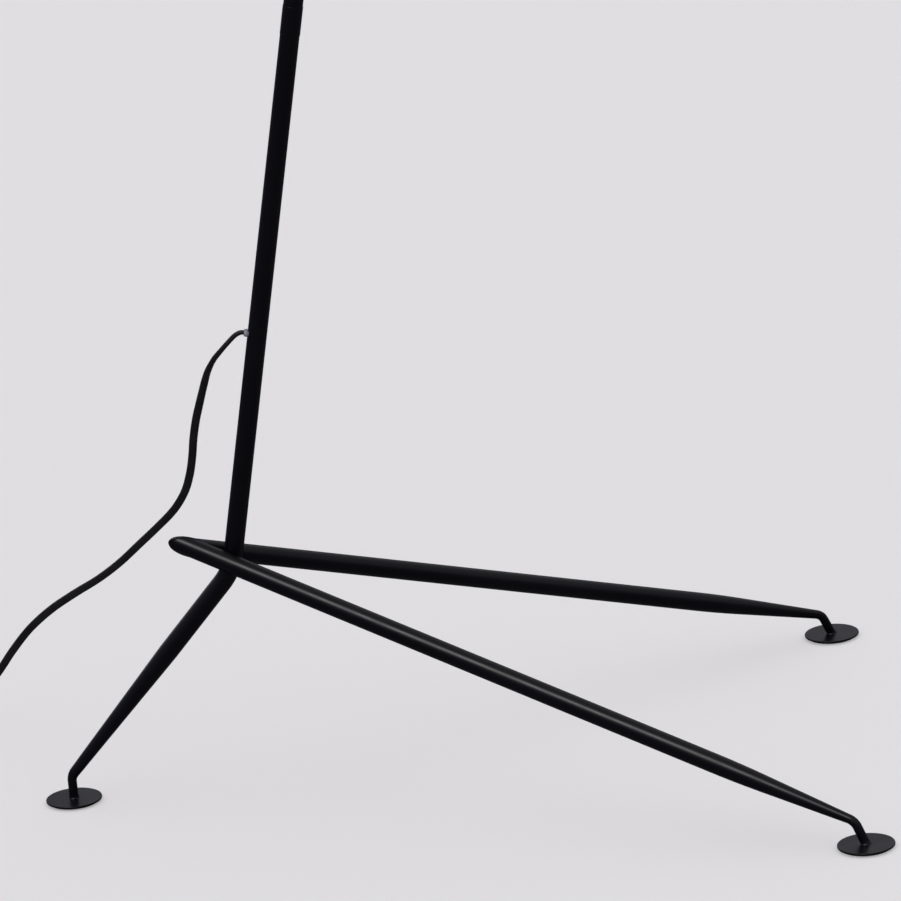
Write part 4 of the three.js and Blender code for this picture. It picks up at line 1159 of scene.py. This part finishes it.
def fork():
    piece = turned("knuckle_fork_brass", [
        (0, -FORK_R - 1), (FORK_R, -FORK_R - 1), (FORK_R, 17), (FORK_R - 0.4, 17.3),
        (FORK_R - 0.4, 18), (FORK_R, 18.3), (FORK_R, 22), (6.2, FORK_TOP), (0, FORK_TOP),
    ], edge=0.4, sides=64)
    cheeks = crossbar(FORK_R + 0.05, FORK_R + 2)
    stretch_half(cheeks, True, FORK_TOP + 2)
    cut(piece, cheeks, "INTERSECT")
    cut(piece, block((40, 2 * SLOT_HALF, 30), (0, 0, SLOT_TOP - 15)))
    cut(piece, crossbar(SCREW_R + 0.3, 30, 40))
    ease_edges(piece, 0.3)
    return piece


def tongue():
    piece = crossbar(7.5, 3.2)
    piece.name = "knuckle_tongue_brass"
    stretch_half(piece, False, -10.5, 0.8)
    collar = turned("collar", [
        (0, -20), (8, -20), (8, -15.6), (7.6, -15.3), (7.6, -14.6), (8, -14.3), (8, -11.2),
        (6, -9.2), (0, -9.2),
    ], edge=0.4, sides=64)
    cut(piece, collar, "UNION")
    cut(piece, crossbar(SCREW_R + 0.3, 30, 40))
    ease_edges(piece, 0.3)
    return piece


dress(set_down(fork(), pivot_at), "swivel_arm", BRASS, "brass", "knuckle_fork")
dress(set_down(tongue(), pivot_at), "lamp_head", BRASS, "brass", "knuckle_tongue")


# %% Screw, acorn nut and friction washers
def low_dome(radius, rise, base, first=0):
    """The outline of a low dome, from its rim at base up to near its middle."""
    angles = [math.radians(10 * i) for i in range(first, 9)]
    return [(radius * math.cos(a), base + rise * math.sin(a)) for a in angles]


def clamp_screw():
    """A domed head with a driver's slot."""
    dome = low_dome(5.5, 2.2, 9.8, first=1)
    piece = turned("knuckle_screw_brass", [
        (0, -10.2), (SCREW_R, -10.2), (SCREW_R, 8.8), (5.5, 8.8), (5.5, 9.8), *dome, (0, 12),
    ], edge=0.25)
    cut(piece, block((1.2, 14, 1.6), (0, 0, 12)))
    ease_edges(piece, 0.12)
    return piece


def acorn_nut():
    dome = low_dome(4.6, 2.1, 9.9)
    outline = [(SCREW_R + 0.3, 8.8), (5.5, 8.8), (5.5, 9.6), *dome, (0, 12)]
    return turned("knuckle_acorn_nut", outline, edge=0.25)


dress(set_down(clamp_screw(), pivot_at, tip=math.pi / 2), "swivel_arm", BRASS, "brass", "knuckle_screw")
dress(set_down(acorn_nut(), pivot_at, tip=-math.pi / 2), "swivel_arm", BRASS, "brass", "knuckle_nut")
friction_outline = [(2.8, 3.5), (6.5, 3.5), (6.5, 4.6), (2.8, 4.6)]
for name, tip in (("left", -math.pi / 2), ("right", math.pi / 2)):
    ring = turned(f"friction_washer_{name}", friction_outline, 0.2, 40, bridge=True)
    dress(set_down(ring, pivot_at, tip=tip), "swivel_arm", FIBRE, "fibre", f"knuckle_washer_{name}")

# %% [markdown]
# ## Head
# Under the knuckle hang the cap with its push switch, the lampholder and the spun shade. The shade is
# black outside and white inside, with its rim rolled over a wire, and its curve flows from
# a flat neck into a straight flare.

# %% Sizes of the head, from the working model
cap_low, cap_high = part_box("shade_cap")
CAP_R = (cap_high.x - cap_low.x) / 2 / MM
CAP_TOP = cap_high.z / MM - pivot.z
CAP_RIM = cap_low.z / MM - pivot.z - 0.25
shade_low, shade_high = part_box("shade")
MOUTH_R = (shade_high.x - shade_low.x) / 2 / MM
NECK_TOP = shade_high.z / MM - pivot.z
MOUTH_Z = shade_low.z / MM - pivot.z
NECK_R = 27.0
SWITCH_Z = -40.0


# %% Cap, bezel and button
def head_cap():
    wall, shoulder = 1.2, 12.0

    def curve(radius, top):
        turns = [math.radians(9 * i) for i in range(1, 10)]
        return [(CAP_R - shoulder + radius * math.sin(a), top - radius * (1 - math.cos(a))) for a in turns]

    outer = [(CAP_R - shoulder, CAP_TOP), *curve(shoulder, CAP_TOP), (CAP_R, CAP_TOP - 50)]
    bead_line = [(CAP_R - dip, CAP_RIM + rise) for dip, rise in ((0, 3.4), (0.4, 3.1), (0.4, 2.5), (0, 2.2))]
    inner = [(CAP_R - shoulder, CAP_TOP - wall), *curve(shoulder - wall, CAP_TOP - wall)]
    outline = [
        (4.8, CAP_TOP), *outer, *bead_line, (CAP_R, CAP_RIM), (CAP_R - wall, CAP_RIM), *inner[::-1],
        (4.8, CAP_TOP - wall),
    ]
    piece = turned("head_cap", outline, edge=0.3, sides=96, bridge=True)
    hole = drawn("hole", [(3.3, 3.3, 14), (3.3, 3.3, 30)], 40)
    cut(piece, set_down(hole, (0, 0, SWITCH_Z * MM), lean=math.pi / 2))
    tidy_normals(piece, 0.002 * MM)
    shade(piece)
    return piece


def switch_collar():
    low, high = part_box("switch_bezel")
    back = low.x / MM - pivot.x
    front = high.x / MM - pivot.x
    return turned("switch_collar", [
        (3.3, back), (5.5, back), (5.5, front - 0.7), (4.6, front), (3.3, front),
    ], edge=0.25, bridge=True)


def push_button():
    low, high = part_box("switch_button")
    back = low.x / MM - pivot.x
    front = high.x / MM - pivot.x
    return turned("push_button", [
        (0, back), (3, back), (3, front - 0.8), (2.4, front), (1.8, front), (1.0, front - 0.35),
        (0, front - 0.45),
    ], edge=0.25, sides=40)


switch_at = pivot_at + Vector((0, 0, SWITCH_Z * MM))
dress(set_down(head_cap(), pivot_at), "lamp_head", BLACK, "black_paint", "shade_cap")
dress(set_down(switch_collar(), switch_at, lean=math.pi / 2), "lamp_head", BRASS, "brass", "switch_bezel")
button = set_down(push_button(), switch_at, lean=math.pi / 2)
dress(button, "button", MOULDED, "black_plastic", "switch_button")


# %% Shade
def shade_point(t, offset=0.0):
    """A point on the spun curve at share t, moved inwards by the wall."""
    a, b = Vector((NECK_R, NECK_TOP)), Vector((NECK_R + 14, NECK_TOP))
    c, d = Vector((NECK_R + 36, NECK_TOP - 30)), Vector((MOUTH_R - 1.3, MOUTH_Z + 1.6))
    point = a * (1 - t) ** 3 + b * 3 * t * (1 - t) ** 2 + c * 3 * t * t * (1 - t) + d * t ** 3
    way = ((b - a) * (1 - t) ** 2 + (c - b) * 2 * t * (1 - t) + (d - c) * t * t).normalized()
    return point + Vector((way.y, -way.x)) * offset


def spun_shade():
    wall = 1.0
    hole = 18.8
    count = 28
    outer = [shade_point(i / count) for i in range(count + 1)]
    inner = [shade_point(i / count, wall) for i in range(count + 1)]
    end = shade_point(1, wall / 2)
    roll = [
        end + Vector((1.25 * math.cos(a), -0.35 + 1.25 * math.sin(a)))
        for a in (math.radians(60 - 30 * i) for i in range(9))
    ]
    outline = [Vector((hole, NECK_TOP)), *outer, *roll, *inner[::-1], Vector((hole, NECK_TOP - wall))]
    rings = [(p.x, p.x, p.y) for p in outline]
    piece = drawn("spun_shade", rings, sides=128, bridge=True)
    shade(piece, 45)
    return piece


spun = set_down(spun_shade(), pivot_at)
dress(spun, "lamp_head", BLACK, "shade_paint", "shade")
spun.data.materials.append(WHITE)
neck_from = pivot_at.z + NECK_TOP * MM - 0.02
for face in spun.data.polygons:
    out = Vector((face.center.x - pivot_at.x, face.center.y, 0)).normalized()
    under_neck = face.normal.z < -0.9 and face.center.z > neck_from
    if face.normal.dot(out) < -0.1 or under_neck:
        face.material_index = 1
inside = sum(1 for face in spun.data.polygons if face.material_index)
print("faces painted white:", inside, "of", len(spun.data.polygons))


# %% Lampholder and its ring
def holder_outline(node):
    low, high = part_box(node)
    return (high.x - low.x) / 2 / MM, low.z / MM - pivot.z, high.z / MM - pivot.z


def lampholder():
    _, bottom, top = holder_outline("lampholder_body")
    thread = []
    for i in range(5):
        height = -89.5 - i * 2.6
        thread += [(18.5, height), (18.5, height - 0.7), (17.9, height - 1.2), (17.9, height - 1.9)]
    return turned("lampholder_housing", [
        (4.8, top), (15, top), (17, top - 2), (17, -84), (22, -84), (22, -87), (18.5, -87), *thread,
        (18.5, bottom + 1.2), (17.9, bottom), (15.6, bottom), (15.6, top - 3), (4.8, top - 3),
    ], edge=0.3, sides=64, bridge=True)


def holder_ring():
    radius, bottom, top = holder_outline("shade_ring")
    piece = turned("shade_clamp_ring", [
        (18.8, top), (radius, top), (radius, top - 1), (radius - 0.7, top - 1.4),
        (radius - 0.7, bottom + 0.8), (radius - 1.6, bottom), (18.8, bottom),
    ], edge=0.3, sides=72, bridge=True)
    return piece


def threaded_liner():
    radius, bottom, top = holder_outline("lampholder_shell")
    waves = []
    for i in range(25):
        height = bottom + (top - bottom) * i / 24
        waves.append(radius - 0.75 + 0.35 * math.cos(2 * math.pi * (height - bottom) / 3.6))
    heights = [bottom + (top - bottom) * i / 24 for i in range(25)]
    outer = [(radius, bottom), (radius, top)]
    inner = [(r - 0.5, h) for r, h in zip(waves, heights)][::-1]
    rings = [(r, r, h) for r, h in outer + inner]
    return drawn("lampholder_liner", rings, 56, bridge=True)


dress(set_down(lampholder(), pivot_at), "lamp_head", MOULDED, "black_plastic", "lampholder_body")
dress(set_down(holder_ring(), pivot_at), "lamp_head", MOULDED, "black_plastic", "shade_ring")
dress(set_down(threaded_liner(), pivot_at), "lamp_head", BRASS, "brass", "lampholder_shell")


# %% Lamp: threaded cap and opal ball
def lamp_cap():
    radius, bottom, top = holder_outline("bulb_cap")
    count = 36
    heights = [bottom + 3 + (top - 6.5 - bottom) * i / count for i in range(count + 1)]
    waves = [(radius - 0.45 + 0.45 * math.cos(2 * math.pi * (h - bottom) / 3.6), h) for h in heights]
    foot = [(radius - 0.1, bottom), (radius - 0.1, bottom + 2.4)]
    crown = [(radius - 2.2, top - 2.6), (5, top), (4.4, top)]
    return drawn("lamp_cap", [(r, r, h) for r, h in [*foot, *waves, *crown]], 56)


def lamp_ball():
    radius, bottom, top = holder_outline("bulb_glass")
    centre = bottom + radius
    neck = 12.6
    arc = [math.radians(38 + 5.6 * i) for i in range(26)]
    ball = [(radius * math.sin(a), centre + radius * math.cos(a)) for a in arc if a < math.radians(179)]
    throat = [(neck - 0.8, top), (neck, top - 0.8), (neck, top - 4), (neck + 0.15, top - 8)]
    piece = drawn("opal_lamp", [(r, r, h) for r, h in [*throat, *ball, (0.3, bottom)]], 72)
    shade(piece, 60)
    return piece


dress(set_down(lamp_cap(), pivot_at), "lamp_head", STEEL, "steel", "bulb_cap")
dress(set_down(lamp_ball(), pivot_at), "lamp_head", OPAL, "opal_glass", "bulb_glass")

# %% [markdown]
# ## Pieces inside
# Nipples, nuts, flex and contacts are hidden when the lamp is whole. Their plain shapes are right
# already, so they only get their finishes.

# %% Finishes for the hidden pieces
HIDDEN = {
    "stem_flex": VINYL, "arm_flex": VINYL, "swivel_nipple": STEEL, "swivel_nut": STEEL, "head_nipple": STEEL,
    "shade_cap_nut": STEEL, "lampholder_nut": STEEL, "switch_body": MOULDED, "lampholder_core": CERAMIC,
    "lampholder_contact": BRASS, "bulb_contact": STEEL,
}
for node, finish in HIDDEN.items():
    for material_slot in frame["nodes"][node].material_slots:
        material_slot.material = finish
print("hidden pieces with finishes:", len(HIDDEN))
